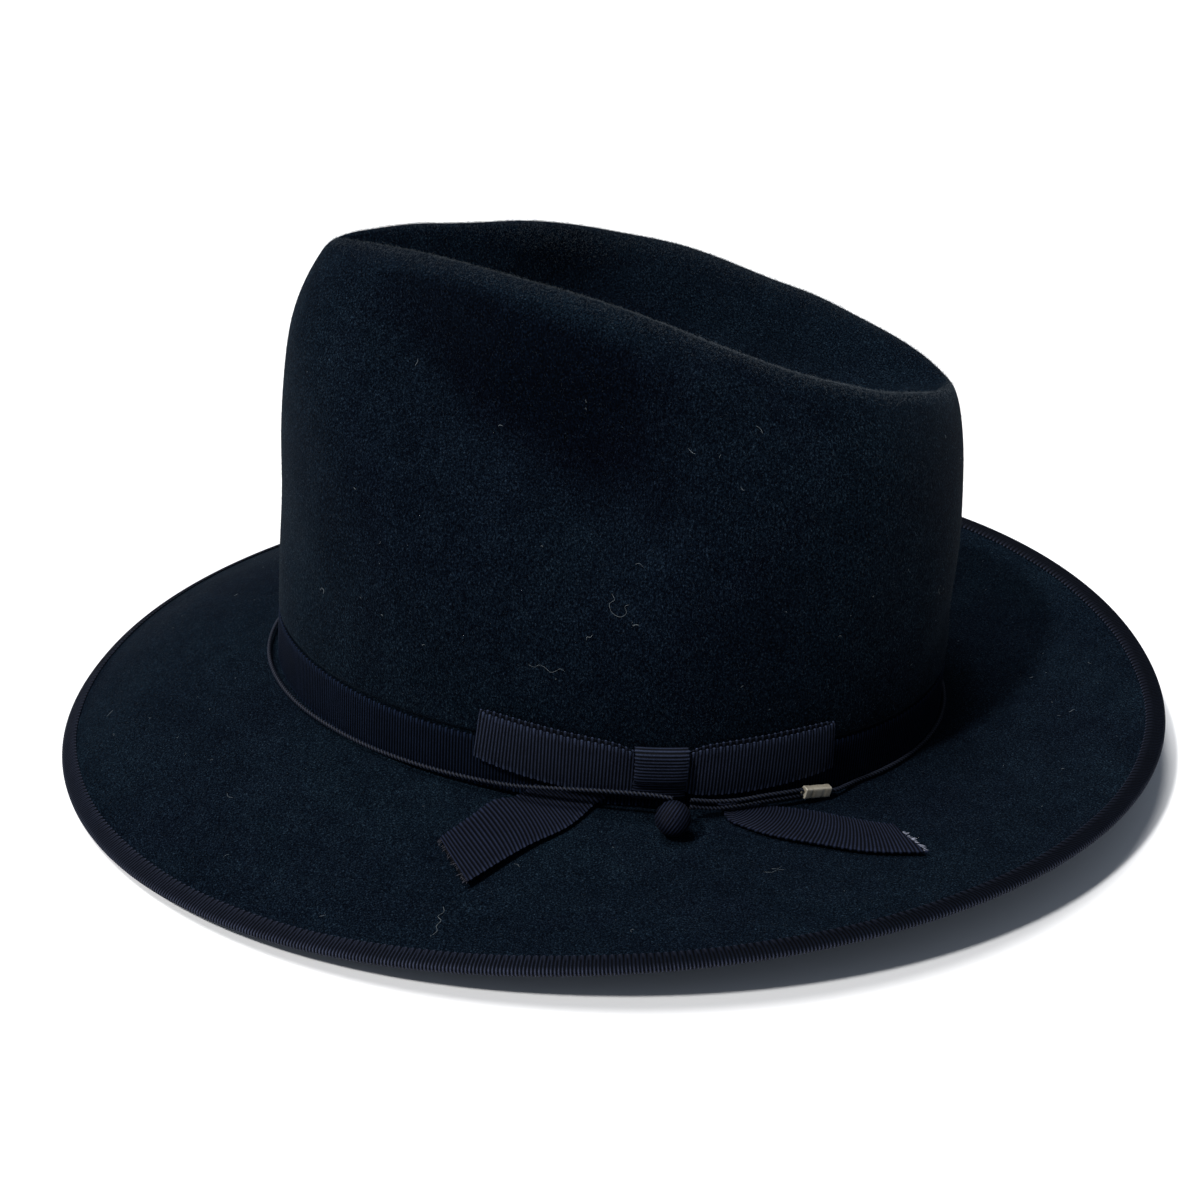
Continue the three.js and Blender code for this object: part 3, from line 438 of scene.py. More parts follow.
def noise(nt, coord, scale, detail=3.0, rough=0.55, distortion=0.0):
    n = nt.nodes.new("ShaderNodeTexNoise")
    n.inputs["Scale"].default_value = scale
    n.inputs["Detail"].default_value = detail
    n.inputs["Roughness"].default_value = rough
    n.inputs["Distortion"].default_value = distortion
    nt.links.new(coord, n.inputs["Vector"])
    return n.outputs["Fac"]


def ramp(nt, value, stops):
    r = nt.nodes.new("ShaderNodeValToRGB")
    els = r.color_ramp.elements
    while len(els) > len(stops):
        els.remove(els[-1])
    while len(els) < len(stops):
        els.new(1.0)
    for e, (pos, colour) in zip(els, stops):
        e.position = pos
        e.color = (*colour, 1) if len(colour) == 3 else colour
    nt.links.new(value, r.inputs["Fac"])
    return r.outputs["Color"]


def mix(nt, fac, a, b, blend="MIX"):
    m = nt.nodes.new("ShaderNodeMix")
    m.data_type = "RGBA"
    m.blend_type = blend
    for socket, value in ((m.inputs[0], fac), (m.inputs[6], a), (m.inputs[7], b)):
        if isinstance(value, bpy.types.NodeSocket):
            nt.links.new(value, socket)
        elif isinstance(value, (int, float)):
            socket.default_value = value
        else:
            socket.default_value = (*value, 1)
    return m.outputs[2]


def maths(nt, op, a, b=None, c=None):
    m = nt.nodes.new("ShaderNodeMath")
    m.operation = op
    for socket, value in zip(m.inputs, (a, b, c)):
        if value is None:
            continue
        if isinstance(value, bpy.types.NodeSocket):
            nt.links.new(value, socket)
        else:
            socket.default_value = value
    return m.outputs[0]


def bump(nt, height, distance, strength=1.0, after=None):
    b = nt.nodes.new("ShaderNodeBump")
    b.inputs["Strength"].default_value = strength
    b.inputs["Distance"].default_value = distance
    nt.links.new(height, b.inputs["Height"])
    if after is not None:
        nt.links.new(after, b.inputs["Normal"])
    return b.outputs["Normal"]


def attribute(nt, name):
    a = nt.nodes.new("ShaderNodeAttribute")
    a.attribute_name = name
    return a.outputs["Fac"]


def felt_material(name, bright=1.0):
    m, nt, bsdf = new_material(name)
    coord = nt.nodes.new("ShaderNodeTexCoord").outputs["Object"]
    stretch = nt.nodes.new("ShaderNodeMapping")
    stretch.inputs["Scale"].default_value = (1.0, 1.0, 0.62)
    nt.links.new(coord, stretch.inputs["Vector"])
    nap = noise(nt, stretch.outputs["Vector"], 2250, 4, 0.68, 0.5)
    fine = noise(nt, coord, 2700, 3, 0.6)
    painted_dent_shade = attribute(nt, "painted_dent_shade")
    cloud = noise(nt, coord, 110, 4, 0.6, 0.4)
    broad = noise(nt, coord, 17, 3, 0.5)
    b = bright
    base = ramp(nt, nap, [(0.34, (0.0003 * b, 0.0008 * b, 0.0022 * b)), (0.46, (0.0009 * b, 0.0022 * b, 0.0050 * b)),
                          (0.58, (0.0037 * b, 0.0080 * b, 0.0142 * b)), (0.70, (0.015 * b, 0.026 * b, 0.039 * b))])
    speck = ramp(nt, fine, [(0.32, (0.38,) * 3), (0.50, (0.90,) * 3), (0.68, (1.9,) * 3)])
    base = mix(nt, 1.0, base, speck, "MULTIPLY")
    patch = ramp(nt, cloud, [(0.32, (0.74, 0.76, 0.8)), (0.68, (1.22, 1.2, 1.16))])
    wide = ramp(nt, broad, [(0.34, (0.86, 0.84, 0.90)), (0.66, (1.12, 1.15, 1.10))])
    # painted shade on the dents and the crease, from the attribute set on the felt below
    painted_dent_shade_factor = ramp(nt, painted_dent_shade, [(0.0, (0.33, 0.34, 0.46)), (1.0, (1.0, 1.0, 1.0))])
    colour = mix(nt, 1.0, mix(nt, 1.0, mix(nt, 1.0, base, patch, "MULTIPLY"), wide, "MULTIPLY"), painted_dent_shade_factor, "MULTIPLY")
    nt.links.new(colour, bsdf.inputs["Base Color"])
    rough = ramp(nt, nap, [(0.3, (0.98,) * 3), (0.8, (0.82,) * 3)])
    nt.links.new(rough, bsdf.inputs["Roughness"])
    bsdf.inputs["Specular IOR Level"].default_value = 0.02
    bsdf.inputs["Sheen Weight"].default_value = 0.03
    bsdf.inputs["Sheen Roughness"].default_value = 0.32
    bsdf.inputs["Sheen Tint"].default_value = (0.5, 0.74, 1.0, 1)
    mixed = maths(nt, "MULTIPLY_ADD", fine, 0.4, nap)
    n1 = bump(nt, mixed, 0.00022, 0.85)
    n2 = bump(nt, cloud, 0.0006, 0.35, n1)
    nt.links.new(n2, bsdf.inputs["Normal"])
    return m


def ribbon_material(name, colour, light, rough=0.5, spec=0.30, sheen=0.10):
    m, nt, bsdf = new_material(name)
    coord = nt.nodes.new("ShaderNodeTexCoord").outputs["Object"]
    rib, across, edge = attribute(nt, "rib"), attribute(nt, "across_mm"), attribute(nt, "edge")
    thread = maths(nt, "SINE", maths(nt, "MULTIPLY", across, 2 * math.pi / 0.17))
    grain = noise(nt, coord, 2600, 3, 0.6)
    cloud = noise(nt, coord, 150, 3, 0.6)
    # painted shade and highlight: the colour is darkened in the valleys between ribs and lightened on their crests
    dark = tuple(c * 0.12 for c in colour)
    base = ramp(nt, rib, [(0.30, dark), (0.74, colour), (0.985, light)])
    speck = ramp(nt, grain, [(0.3, (0.72,) * 3), (0.72, (1.34,) * 3)])
    patch = ramp(nt, cloud, [(0.3, (0.86,) * 3), (0.7, (1.14,) * 3)])
    col = mix(nt, 1.0, mix(nt, 1.0, base, speck, "MULTIPLY"), patch, "MULTIPLY")
    # painted highlight: the picots at the edges are lightened where they catch the light
    picot = tuple(min(1.0, c * 1.9) for c in light)
    col = mix(nt, edge, col, picot)
    nt.links.new(col, bsdf.inputs["Base Color"])
    r = ramp(nt, grain, [(0.2, (rough + 0.12,) * 3), (0.8, (rough - 0.08,) * 3)])
    nt.links.new(r, bsdf.inputs["Roughness"])
    bsdf.inputs["Specular IOR Level"].default_value = spec
    bsdf.inputs["Sheen Weight"].default_value = sheen
    bsdf.inputs["Sheen Roughness"].default_value = 0.35
    bsdf.inputs["Sheen Tint"].default_value = (0.72, 0.74, 0.95, 1)
    n1 = bump(nt, maths(nt, "MULTIPLY_ADD", thread, 0.5, grain), 0.00004, 0.8)
    nt.links.new(n1, bsdf.inputs["Normal"])
    return m


def cord_material(name):
    m, nt, bsdf = new_material(name)
    coord = nt.nodes.new("ShaderNodeTexCoord").outputs["Object"]
    yarn_shade = attribute(nt, "rib")
    grain = noise(nt, coord, 3000, 3, 0.6)
    # painted shade and highlight: darker between the yarns, lighter on their crests
    base = ramp(nt, yarn_shade, [(0.0, (0.0005, 0.0006, 0.0013)), (0.62, (0.0020, 0.0026, 0.0052)), (0.98, (0.018, 0.023, 0.040))])
    speck = ramp(nt, grain, [(0.3, (0.7,) * 3), (0.72, (1.4,) * 3)])
    nt.links.new(mix(nt, 1.0, base, speck, "MULTIPLY"), bsdf.inputs["Base Color"])
    r = ramp(nt, grain, [(0.2, (0.62,) * 3), (0.8, (0.42,) * 3)])
    nt.links.new(r, bsdf.inputs["Roughness"])
    bsdf.inputs["Specular IOR Level"].default_value = 0.12
    bsdf.inputs["Sheen Weight"].default_value = 0.03
    bsdf.inputs["Sheen Tint"].default_value = (0.75, 0.76, 0.9, 1)
    nt.links.new(bump(nt, grain, 0.00005, 0.7), bsdf.inputs["Normal"])
    return m


def brass_material(name):
    m, nt, bsdf = new_material(name)
    coord = nt.nodes.new("ShaderNodeTexCoord").outputs["Object"]
    blotch = noise(nt, coord, 620, 5, 0.65, 0.5)
    fine = noise(nt, coord, 2600, 3, 0.6)
    worn = nt.nodes.new("ShaderNodeNewGeometry").outputs["Pointiness"]
    base = ramp(nt, blotch, [(0.3, (0.30, 0.255, 0.18)), (0.5, (0.44, 0.39, 0.30)), (0.72, (0.54, 0.50, 0.41))])
    edge = ramp(nt, worn, [(0.49, (0.0,) * 3), (0.56, (1.0,) * 3)])
    col = mix(nt, edge, base, (0.56, 0.52, 0.43))
    nt.links.new(col, bsdf.inputs["Base Color"])
    bsdf.inputs["Metallic"].default_value = 0.35
    r = ramp(nt, fine, [(0.25, (0.60,) * 3), (0.75, (0.42,) * 3)])
    nt.links.new(r, bsdf.inputs["Roughness"])
    nt.links.new(bump(nt, maths(nt, "MULTIPLY_ADD", fine, 0.4, blotch), 0.00006, 0.7), bsdf.inputs["Normal"])
    return m


def thread_material(name, dark, light):
    m, nt, bsdf = new_material(name)
    coord = nt.nodes.new("ShaderNodeTexCoord").outputs["Object"]
    grain = noise(nt, coord, 900, 3, 0.6)
    nt.links.new(ramp(nt, grain, [(0.3, dark), (0.7, light)]), bsdf.inputs["Base Color"])
    r = ramp(nt, grain, [(0.2, (0.75,) * 3), (0.8, (0.5,) * 3)])
    nt.links.new(r, bsdf.inputs["Roughness"])
    bsdf.inputs["Specular IOR Level"].default_value = 0.2
    nt.links.new(bump(nt, grain, 0.00003, 0.5), bsdf.inputs["Normal"])
    return m


felt_mat = felt_material("felt_nap")
fuzz_mat = thread_material("felt_fibres", (0.005, 0.010, 0.016), (0.036, 0.050, 0.064))
# fibres coloured lighter than the felt's own, for the ridge: painted highlight
ridge_highlight_mat = thread_material("ridge_fibres_painted_highlight", (0.020, 0.028, 0.036), (0.095, 0.112, 0.13))
ribbon_mat = ribbon_material("grosgrain", (0.0024, 0.0038, 0.0086), (0.0195, 0.0265, 0.050), rough=0.62, spec=0.08, sheen=0.02)
# painted shade: the band's and the tails' copies of the bow's ribbon are made darker than the bow's
shaded_band_mat = ribbon_material("grosgrain_band_painted_shade", (0.0009, 0.0020, 0.0052), (0.0062, 0.0112, 0.0255), rough=0.70, spec=0.035, sheen=0.004)
shaded_tail_mat = ribbon_material("grosgrain_tails_painted_shade", (0.0015, 0.0024, 0.0060), (0.0105, 0.0142, 0.030), rough=0.62, spec=0.06, sheen=0.01)
binding_mat = ribbon_material("grosgrain_edge", (0.0034, 0.0052, 0.0110), (0.038, 0.044, 0.072), rough=0.66, spec=0.04, sheen=0.004)
cord_mat = cord_material("twisted_cord")
brass_mat = brass_material("aged_brass")
fray_mat = thread_material("frayed_ends", (0.10, 0.11, 0.15), (0.34, 0.36, 0.44))
lint_mat = thread_material("lint", (0.06, 0.075, 0.085), (0.20, 0.23, 0.25))

# ---------------------------------------------------------------------------------------------
# felt: crown and brim
# ---------------------------------------------------------------------------------------------
N = 288
ang = 2 * math.pi * np.arange(N) / N
rows, kinds = [], []


def push(kind, points, keep):
    kinds.append((kind, keep))
    rows.append(points)


for q in [0.984, 0.972, 0.957, *np.linspace(0.935, 0.06, 42), 0.042, 0.026, 0.012]:
    push("brim", brim_top(ang, np.full(N, q)), q)
push("foot", foot(ang), 0.0)
for h in (0.6, 1.4, 3, 6, 9, 12, 14.4, 15.3, 15.8, 16.2, 16.6, 17.0, 17.5, 18.1, 18.9, 19.9):
    push("low", wall(ang, row_at(ang, np.full(N, h))), h)
first = row_at(ang, np.full(N, 20.9))
WALL_STEPS = 60
for i in range(WALL_STEPS + 1):
    t = i / WALL_STEPS
    push("wall", wall(ang, first + (10 - first) * t), t)
for r in np.linspace(0, 5, 31)[1:]:
    push("crease", crease(ang, np.full(N, r)), r)
grid = np.stack(rows)
R = len(rows)
half = N // 2

# one number for each point; left and right share the crease's bottom line
ids = np.arange(R * N).reshape(R, N)
last = ids[-1].copy()
for k in range(half + 1, N):
    last[k] = last[N - k]
ids[-1] = last
used, ids_flat = np.unique(ids, return_inverse=True)
ids = ids_flat.reshape(R, N)
pts = grid.reshape(-1, 3)[used].copy()
mid_line = np.unique(ids[-1])
pts[mid_line, 0] = 0.0

I, K = np.meshgrid(np.arange(R - 1), np.arange(N), indexing="ij")
K2 = (K + 1) % N
outer = np.stack([ids[I, K], ids[I, K2], ids[I + 1, K2], ids[I + 1, K]], -1).reshape(-1, 4)


def clean(quads):
    """Splits off the quads that have become triangles and drops those with no area."""
    same = np.stack([quads[:, j] == quads[:, (j + 1) % 4] for j in range(4)], -1)
    four = quads[~same.any(1)]
    four = four[(four[:, 0] != four[:, 2]) & (four[:, 1] != four[:, 3])]
    three = []
    for q in quads[same.sum(1) == 1]:
        u = [q[j] for j in range(4) if q[j] != q[(j + 1) % 4]]
        if len(set(u)) == 3:
            three.append(u)
    return four, np.array(three, int).reshape(-1, 3)


def vertex_normals(p, four, three):
    n = np.zeros_like(p)
    for f in (four, three):
        if not len(f):
            continue
        a = p[f[:, 2]] - p[f[:, 0]]
        b = (p[f[:, 3]] - p[f[:, 1]]) if f.shape[1] == 4 else (p[f[:, 1]] - p[f[:, 0]])
        fn = np.cross(a, b) if f.shape[1] == 4 else np.cross(b, a)
        for j in range(f.shape[1]):
            np.add.at(n, f[:, j], fn)
    return unit(n)


outer4, outer3 = clean(outer)
# how freely each point may move when the shape is eased: only the crown above the ribbon
ease = np.zeros((R, N))
for r, (kind, value) in enumerate(kinds):
    if kind == "wall":
        ease[r] = smooth((value - 0.08) / 0.35)
    elif kind == "crease":
        ease[r] = 1
ease_v = np.zeros(len(pts))
np.maximum.at(ease_v, ids.ravel(), ease.ravel())
edges = np.unique(np.sort(np.concatenate([outer4[:, [0, 1]], outer4[:, [1, 2]], outer4[:, [2, 3]], outer4[:, [3, 0]],
                                          outer3[:, [0, 1]], outer3[:, [1, 2]], outer3[:, [2, 0]]]), 1), axis=0)
degree = np.bincount(edges.ravel(), minlength=len(pts)).astype(float)
for _ in range(9):
    total = np.zeros_like(pts)
    np.add.at(total, edges[:, 0], pts[edges[:, 1]])
    np.add.at(total, edges[:, 1], pts[edges[:, 0]])
    pts += (total / degree[:, None] - pts) * (0.5 * ease_v)[:, None]
foot_row = [r for r, (kind, _) in enumerate(kinds) if kind == "foot"][0]

# broad unevenness, away from the ribbon, the bow, the tails and the brim's edge
normals = vertex_normals(pts, outer4, outer3)
if normals[ids[R // 2]][:, :2].dot([0, 0]).sum() != 0:
    pass
side = unit(pts[ids[foot_row + 20]] * [1, 1, 0])
if (normals[ids[foot_row + 20]] * side).sum() < 0:
    normals = -normals
free = np.zeros((R, N))
for r, (kind, value) in enumerate(kinds):
    if kind == "wall":
        free[r] = smooth(value / 0.12)
    elif kind == "crease":
        free[r] = 1
    elif kind == "brim":
        free[r] = smooth((0.9 - value) / 0.12) * smooth((value - 0.62) / 0.2)
free_v = np.zeros(len(pts))
np.maximum.at(free_v, ids.ravel(), free.ravel())
pts += normals * (uneven(pts) * 0.42 * free_v)[:, None]
normals = vertex_normals(pts, outer4, outer3)
if (normals[ids[foot_row + 20]] * side).sum() < 0:
    normals = -normals

# the felt's underside and inside: fewer rows, the same points round
thick = np.full((R, N), FELT)
for r, (kind, value) in enumerate(kinds):
    if kind == "brim":
        thick[r] = FELT_AT_EDGE + (FELT - FELT_AT_EDGE) * float(smooth((0.95 - value) / 0.12))
inner_rows = [0, 1, 2, *range(4, foot_row - 3, 2), foot_row, *range(foot_row + 3, R - 1, 2), R - 1]
inner_rows = sorted(set(inner_rows))
corner = normals[ids[foot_row]].copy()
inner_of = {}
inner_pts = []
base = len(pts)
for r in inner_rows:
    for k in range(N):
        v = ids[r, k]
        if v not in inner_of:
            inner_of[v] = base + len(inner_pts)
            n = normals[v]
            t = thick[r, k] * (1.35 if r == foot_row else 1.0)
            if r == R - 1:
                n = unit(n * [0, 1, 1])
            inner_pts.append(pts[v] - n * t)
inner_ids = np.array([[inner_of[v] for v in ids[r]] for r in inner_rows])
I, K = np.meshgrid(np.arange(len(inner_rows) - 1), np.arange(N), indexing="ij")
K2 = (K + 1) % N
inner = np.stack([inner_ids[I, K], inner_ids[I + 1, K], inner_ids[I + 1, K2], inner_ids[I, K2]], -1).reshape(-1, 4)
inner4, inner3 = clean(inner)
k = np.arange(N)
k2 = (k + 1) % N
rim = np.stack([ids[0, k], inner_ids[0, k], inner_ids[0, k2], ids[0, k2]], -1)
felt_pts_hat = np.concatenate([pts, np.array(inner_pts)])
felt_faces = [np.concatenate([outer4, inner4, rim])]
if len(outer3) or len(inner3):
    felt_faces.append(np.concatenate([outer3, inner3]))
# painted shade: the felt's colour is darkened, and tinted bluer, on the steep side of the dents and of the crease,
# where shade falls
painted_dent_shade = np.ones((R, N))
for r, (kind, value) in enumerate(kinds):
    d = np.abs(np.degrees(np.arctan2(np.sin(ang), np.cos(ang))))
    if kind == "wall":
        row = first + (10 - first) * value
        up = (row - dent_low(d)) / (dent_top(d) - dent_low(d))
        painted_dent_shade[r] = 1 - np.clip(dent_depth(d) / 17.0, 0, 1) ** 0.8 * smooth((up + 0.34) / 0.62) * smooth((1.12 - up) / 0.26)
    elif kind == "crease":
        painted_dent_shade[r] = 1 - 0.62 * np.exp(-(((d - 77) / 15) ** 2)) * smooth((value - 0.6) / 1.0) * smooth((4.6 - value) / 1.4)
painted_dent_shade_v = np.ones(len(felt_pts_hat))
np.minimum.at(painted_dent_shade_v, ids.ravel(), painted_dent_shade.ravel())
felt = build("felt_crown_and_brim", on_floor(felt_pts_hat), felt_faces, felt_mat, ["felt_body"], attrs={"painted_dent_shade": painted_dent_shade_v})

# ---------------------------------------------------------------------------------------------
# short fibres that lie on the felt
# ---------------------------------------------------------------------------------------------
row_of_vertex = np.zeros(len(pts), int)
for r in range(R):
    row_of_vertex[ids[r]] = r


def fibres(name, pick, count, seed, length, lift, wide=(0.016, 0.030), material=None, spread=None):
    rng = np.random.default_rng(seed)
    quads = outer4[pick(row_of_vertex[outer4].min(1))]
    a, b, c, d = (pts[quads[:, j]] for j in range(4))
    area = np.linalg.norm(np.cross(c - a, d - b), axis=1)
    if spread:
        area = area * np.exp(-(((row_of_vertex[quads].mean(1) - ridge_row) / spread) ** 2))
    f = rng.choice(len(quads), count, p=area / area.sum())
    u, w = rng.random((count, 1)), rng.random((count, 1))
    p = (a[f] * (1 - u) + b[f] * u) * (1 - w) + (d[f] * (1 - u) + c[f] * u) * w
    n = unit(normals[quads[f]].mean(1))
    round_dir = unit(np.cross(np.array([0, 0, 1.0]), n) + 1e-6)
    down = np.cross(n, round_dir)
    turn = rng.normal(0.5, 1.15, (count, 1))
    way = round_dir * np.cos(turn) + down * np.sin(turn)
    size = rng.uniform(*length, (count, 1)) * (1 + 0.9 * (rng.random((count, 1)) > 0.96))
    rise = np.radians(rng.uniform(*lift, (count, 1)))
    side_way = np.cross(n, way)
    bend = rng.normal(0, 0.22, (count, 1))
    start = p - n * 0.05
    mid = p + way * size * 0.5 * np.cos(rise) + side_way * size * bend * 0.5 + n * (size * 0.5 * np.sin(rise) + 0.03)
    tip = p + way * size * np.cos(rise) + side_way * size * bend * -0.2 + n * size * np.sin(rise) * rng.uniform(0.4, 1.0, (count, 1))
    t = unit(tip - start)
    s1 = unit(np.cross(t, n))
    s2 = np.cross(t, s1)
    wide = rng.uniform(*wide, (count, 1))
    ring = [mid + (s1 * math.cos(g) + s2 * math.sin(g)) * wide for g in (0.5, 2.6, 4.7)]
    points = on_floor(np.stack([start, *ring, tip], 1))
    o = np.arange(count)[:, None] * 5
    tris = np.concatenate([np.concatenate([o + 0, o + 1 + j, o + 1 + (j + 1) % 3], 1) for j in range(3)]
                          + [np.concatenate([o + 4, o + 1 + (j + 1) % 3, o + 1 + j], 1) for j in range(3)])
    return build(name, points.reshape(-1, 3), [tris], material or fuzz_mat)


ridge_row = R - 31
fibres("felt_fibres_crown", lambda r: r >= foot_row + 13, 30000, 21, (0.35, 1.15), (3, 26))
fibres("felt_fibres_brim", lambda r: (r >= 4) & (r < foot_row - 4), 24000, 22, (0.35, 1.1), (3, 24))
# painted highlight: lighter fibres crowded along the ridge line
fibres("felt_fibres_ridge", lambda r: np.abs(r - ridge_row) <= 9, 26000, 23, (0.4, 1.3), (10, 50), (0.014, 0.026), ridge_highlight_mat, 6.0)

# ---------------------------------------------------------------------------------------------
# ribbon round the brim's edge
# ---------------------------------------------------------------------------------------------
dense = np.linspace(0, 2 * math.pi, 6001)
edge_line = brim_edge(dense)
edge_len = np.concatenate([[0], np.cumsum(np.linalg.norm(np.diff(edge_line, axis=0), axis=1))])
SPR = 4
ribs = int(round(edge_len[-1] / (RIB * 0.98)))
n = ribs * SPR
s = np.arange(n) / n * edge_len[-1]
a = np.interp(s, edge_len, dense)
phase = (np.arange(n) % SPR) / SPR
nn = brim_normal(a, np.full(n, 0.96))
e = brim_top(a, np.ones(n)) - nn * (FELT_AT_EDGE / 2)
mid = brim_top(a, np.full(n, 1 - BINDING_WIDTH / BRIM_WIDTH)) - nn * (FELT_AT_EDGE / 2)
u = unit(e - mid)
t = unit(brim_edge(a + 0.01) - brim_edge(a - 0.01))
w = unit(np.cross(t, u))
w = np.where(w[:, 2:3] < 0, -w, w)
in_half = FELT_AT_EDGE / 2 + 0.26
o = 1.16
picot = (np.arange(n) % (2 * SPR)) / (2 * SPR)
picot = np.maximum(0, np.cos(2 * np.pi * picot)) ** 1.5
wander = 0.12 * np.sin(s / 23.0) + 0.07 * np.sin(s / 7.3 + 1.0)
height = rib_profile(phase)
a_signed = np.arctan2(np.sin(a - np.radians(48)), np.cos(a - np.radians(48)))
section = [(-5.0, in_half, 0, 0.6), (-5.12, o - 0.22, 0.3, 0.5), (-4.7, o - 0.02, 1, 0.15), (-2.9, o, 1, 0), (-1.25, o * 0.98, 1, 0), (-0.3, o * 0.66, 1, 0),
           (-0.02, 0, 1, 0), (-0.4, -o * 0.66, 1, 0), (-1.25, -o * 0.98, 1, 0), (-4.8, -o, 0.8, 0.1), (-5.0, -in_half, 0, 0), (-0.9, -in_half, 0, 0), (-0.9, in_half, 0, 0)]
ring, rib_attr, across_attr, edge_attr = [], [], [], []
run = 0.0
for i, (along, up, share, pic) in enumerate(section):
    if i:
        run += math.hypot(along - section[i - 1][0], up - section[i - 1][1])
    at_edge = abs(along + 5.05) < 0.3 and abs(up) > in_half - 0.01
    al = along - (0.18 * picot if at_edge else 0) + (wander if along < -2 else 0)
    lift_by = 0.15 * height * share
    direction = unit(np.array([0.0 if along < -1 else 1.0, np.sign(up) if abs(up) > 0.1 else 0.0]) + 1e-9)
    p = e + u * (al + lift_by * direction[0])[:, None] + w * (up + lift_by * direction[1])[:, None]
    ring.append(p)
    # painted shade: the upper face's rib value is lowered, and lowered more the further round from the front-left,
    # where the binding gets less light
    painted_rear_shade = 1 - 0.27 * smooth((np.degrees(np.abs(a_signed)) - 34) / 34) if up > 0.5 else 1.0
    rib_attr.append((height * share + 0.35 * (1 - share)) * (0.84 if along < -1 and up > 0 else 1.0) * painted_rear_shade)
    across_attr.append(np.full(n, run))
    # painted highlight on the binding's picots
    edge_attr.append(np.clip(pic * picot, 0, 1))
sections = on_floor(np.stack(ring, 1))
p, f = tube(sections, wrap=True)
build("binding_ribbon", p, f, binding_mat, ["brim_binding"], sharp=62,
      attrs={"rib": np.stack(rib_attr, 1), "across_mm": np.stack(across_attr, 1), "edge": np.stack(edge_attr, 1)})


# ---------------------------------------------------------------------------------------------
# grosgrain strips with ribs, and picots along both edges
# ---------------------------------------------------------------------------------------------
def strip(name, node_name, line, out, width_t, s, thickness, rib_height=0.15, wrap=False, edge_shine=1.0, cols=9, phase0=0.0, ragged=None, material=None):
    """line(s, t) gives the middle of the ribbon at arc length s and share t across; out(s, t) is its outer side.
    Both faces carry ribs. Every second rib ends in a small loop past the edge."""
    t = 0.5 - 0.5 * np.cos(np.pi * np.linspace(0, 1, cols)) if cols > 5 else np.linspace(0, 1, cols)
    t = 0.35 * t + 0.65 * np.linspace(0, 1, cols)
    S, T = np.meshgrid(s, t, indexing="ij")
    phase = S / RIB + phase0
    height = rib_profile(phase % 1.0)
    pair = np.maximum(0, np.cos(np.pi * (phase - 0.5))) ** 1.3
    mid = line(S, T)
    o = out(S, T)
    dt = line(S, np.minimum(T + 0.01, 1.0)) - line(S, np.maximum(T - 0.01, 0.0))
    cross = unit(dt)
    at0, at1 = (T == T.min()), (T == T.max())
    border = (at0 | at1).astype(float)
    mid = mid + cross * (at1 * 1.0 - at0 * 1.0)[..., None] * (0.20 * pair)[..., None]
    soft = 1 - 0.45 * border
    half_t = thickness / 2
    front = mid + o * (half_t * soft + rib_height * height * (1 - 0.3 * border) + 0.08 * pair * border)[..., None]
    back = mid - o * (half_t * soft + 0.5 * rib_height * height * (1 - border))[..., None]
    if ragged is not None:
        front, back = ragged(front, back, S, T)
    p, q = slab(on_floor(front), on_floor(back), wrap)
    # painted shade: the back face is given lower rib values, so it comes out darker
    rib = np.concatenate([height.ravel(), height.ravel() * 0.6])
    width = width_t
    across = np.concatenate([(T * width).ravel()] * 2)
    # painted highlight on the picots, weaker on the back face
    edge = np.concatenate([(border * pair * edge_shine).ravel(), (border * pair * edge_shine * 0.6).ravel()])
    return build(name, p, [q], material or ribbon_mat, [node_name] if node_name else None, sharp=68,
                 attrs={"rib": rib, "across_mm": across, "edge": np.clip(edge, 0, 1)})


# the band: one turn round the crown
band_a = np.linspace(0, 2 * math.pi, 6001)
band_len = np.concatenate([[0], np.cumsum(np.linalg.norm(np.diff(beside_foot(band_a, 8.0, 0.8), axis=0), axis=1))])
band_ribs = int(round(band_len[-1] / RIB / 2)) * 2
scale = band_len[-1] / (band_ribs * RIB)
n = band_ribs * 4
band_s = np.arange(n) / 4 * RIB


def band_at(S, T):
    a = np.interp(S * scale, band_len, band_a)
    return beside_foot(a, BAND_BOTTOM + 0.25 + (BAND_WIDTH - 0.5) * T, 0.78)


def band_out(S, T):
    return outwards(np.interp(S * scale, band_len, band_a))


strip("band_ribbon", "hat_band", band_at, band_out, BAND_WIDTH, band_s, 0.62, rib_height=0.15, wrap=True, cols=8, edge_shine=0.9, material=shaded_band_mat)

# ---------------------------------------------------------------------------------------------
# the bow: two flat loops, a knot and two tails
# ---------------------------------------------------------------------------------------------
LOOPS = np.array([
    (0.4, 7.4, 17.6, 2.1, 1.4), (6.0, 7.2, 18.0, 2.1, 1.4), (8.6, 6.5, 19.0, 2.1, 1.6), (11, 6.1, 19.8, 2.0, 1.8), (15, 5.9, 20.5, 1.9, 2.0), (23, 6.3, 21.4, 1.7, 2.3),
    (32, 7.2, 22.4, 1.7, 2.3), (41, 8.4, 23.4, 1.9, 2.1), (47, 9.4, 24.0, 2.2, 1.8), (49.3, 9.9, 24.2, 2.5, 1.2),
])
loop_f = [through(LOOPS[:, 0], LOOPS[:, c]) for c in range(1, 5)]


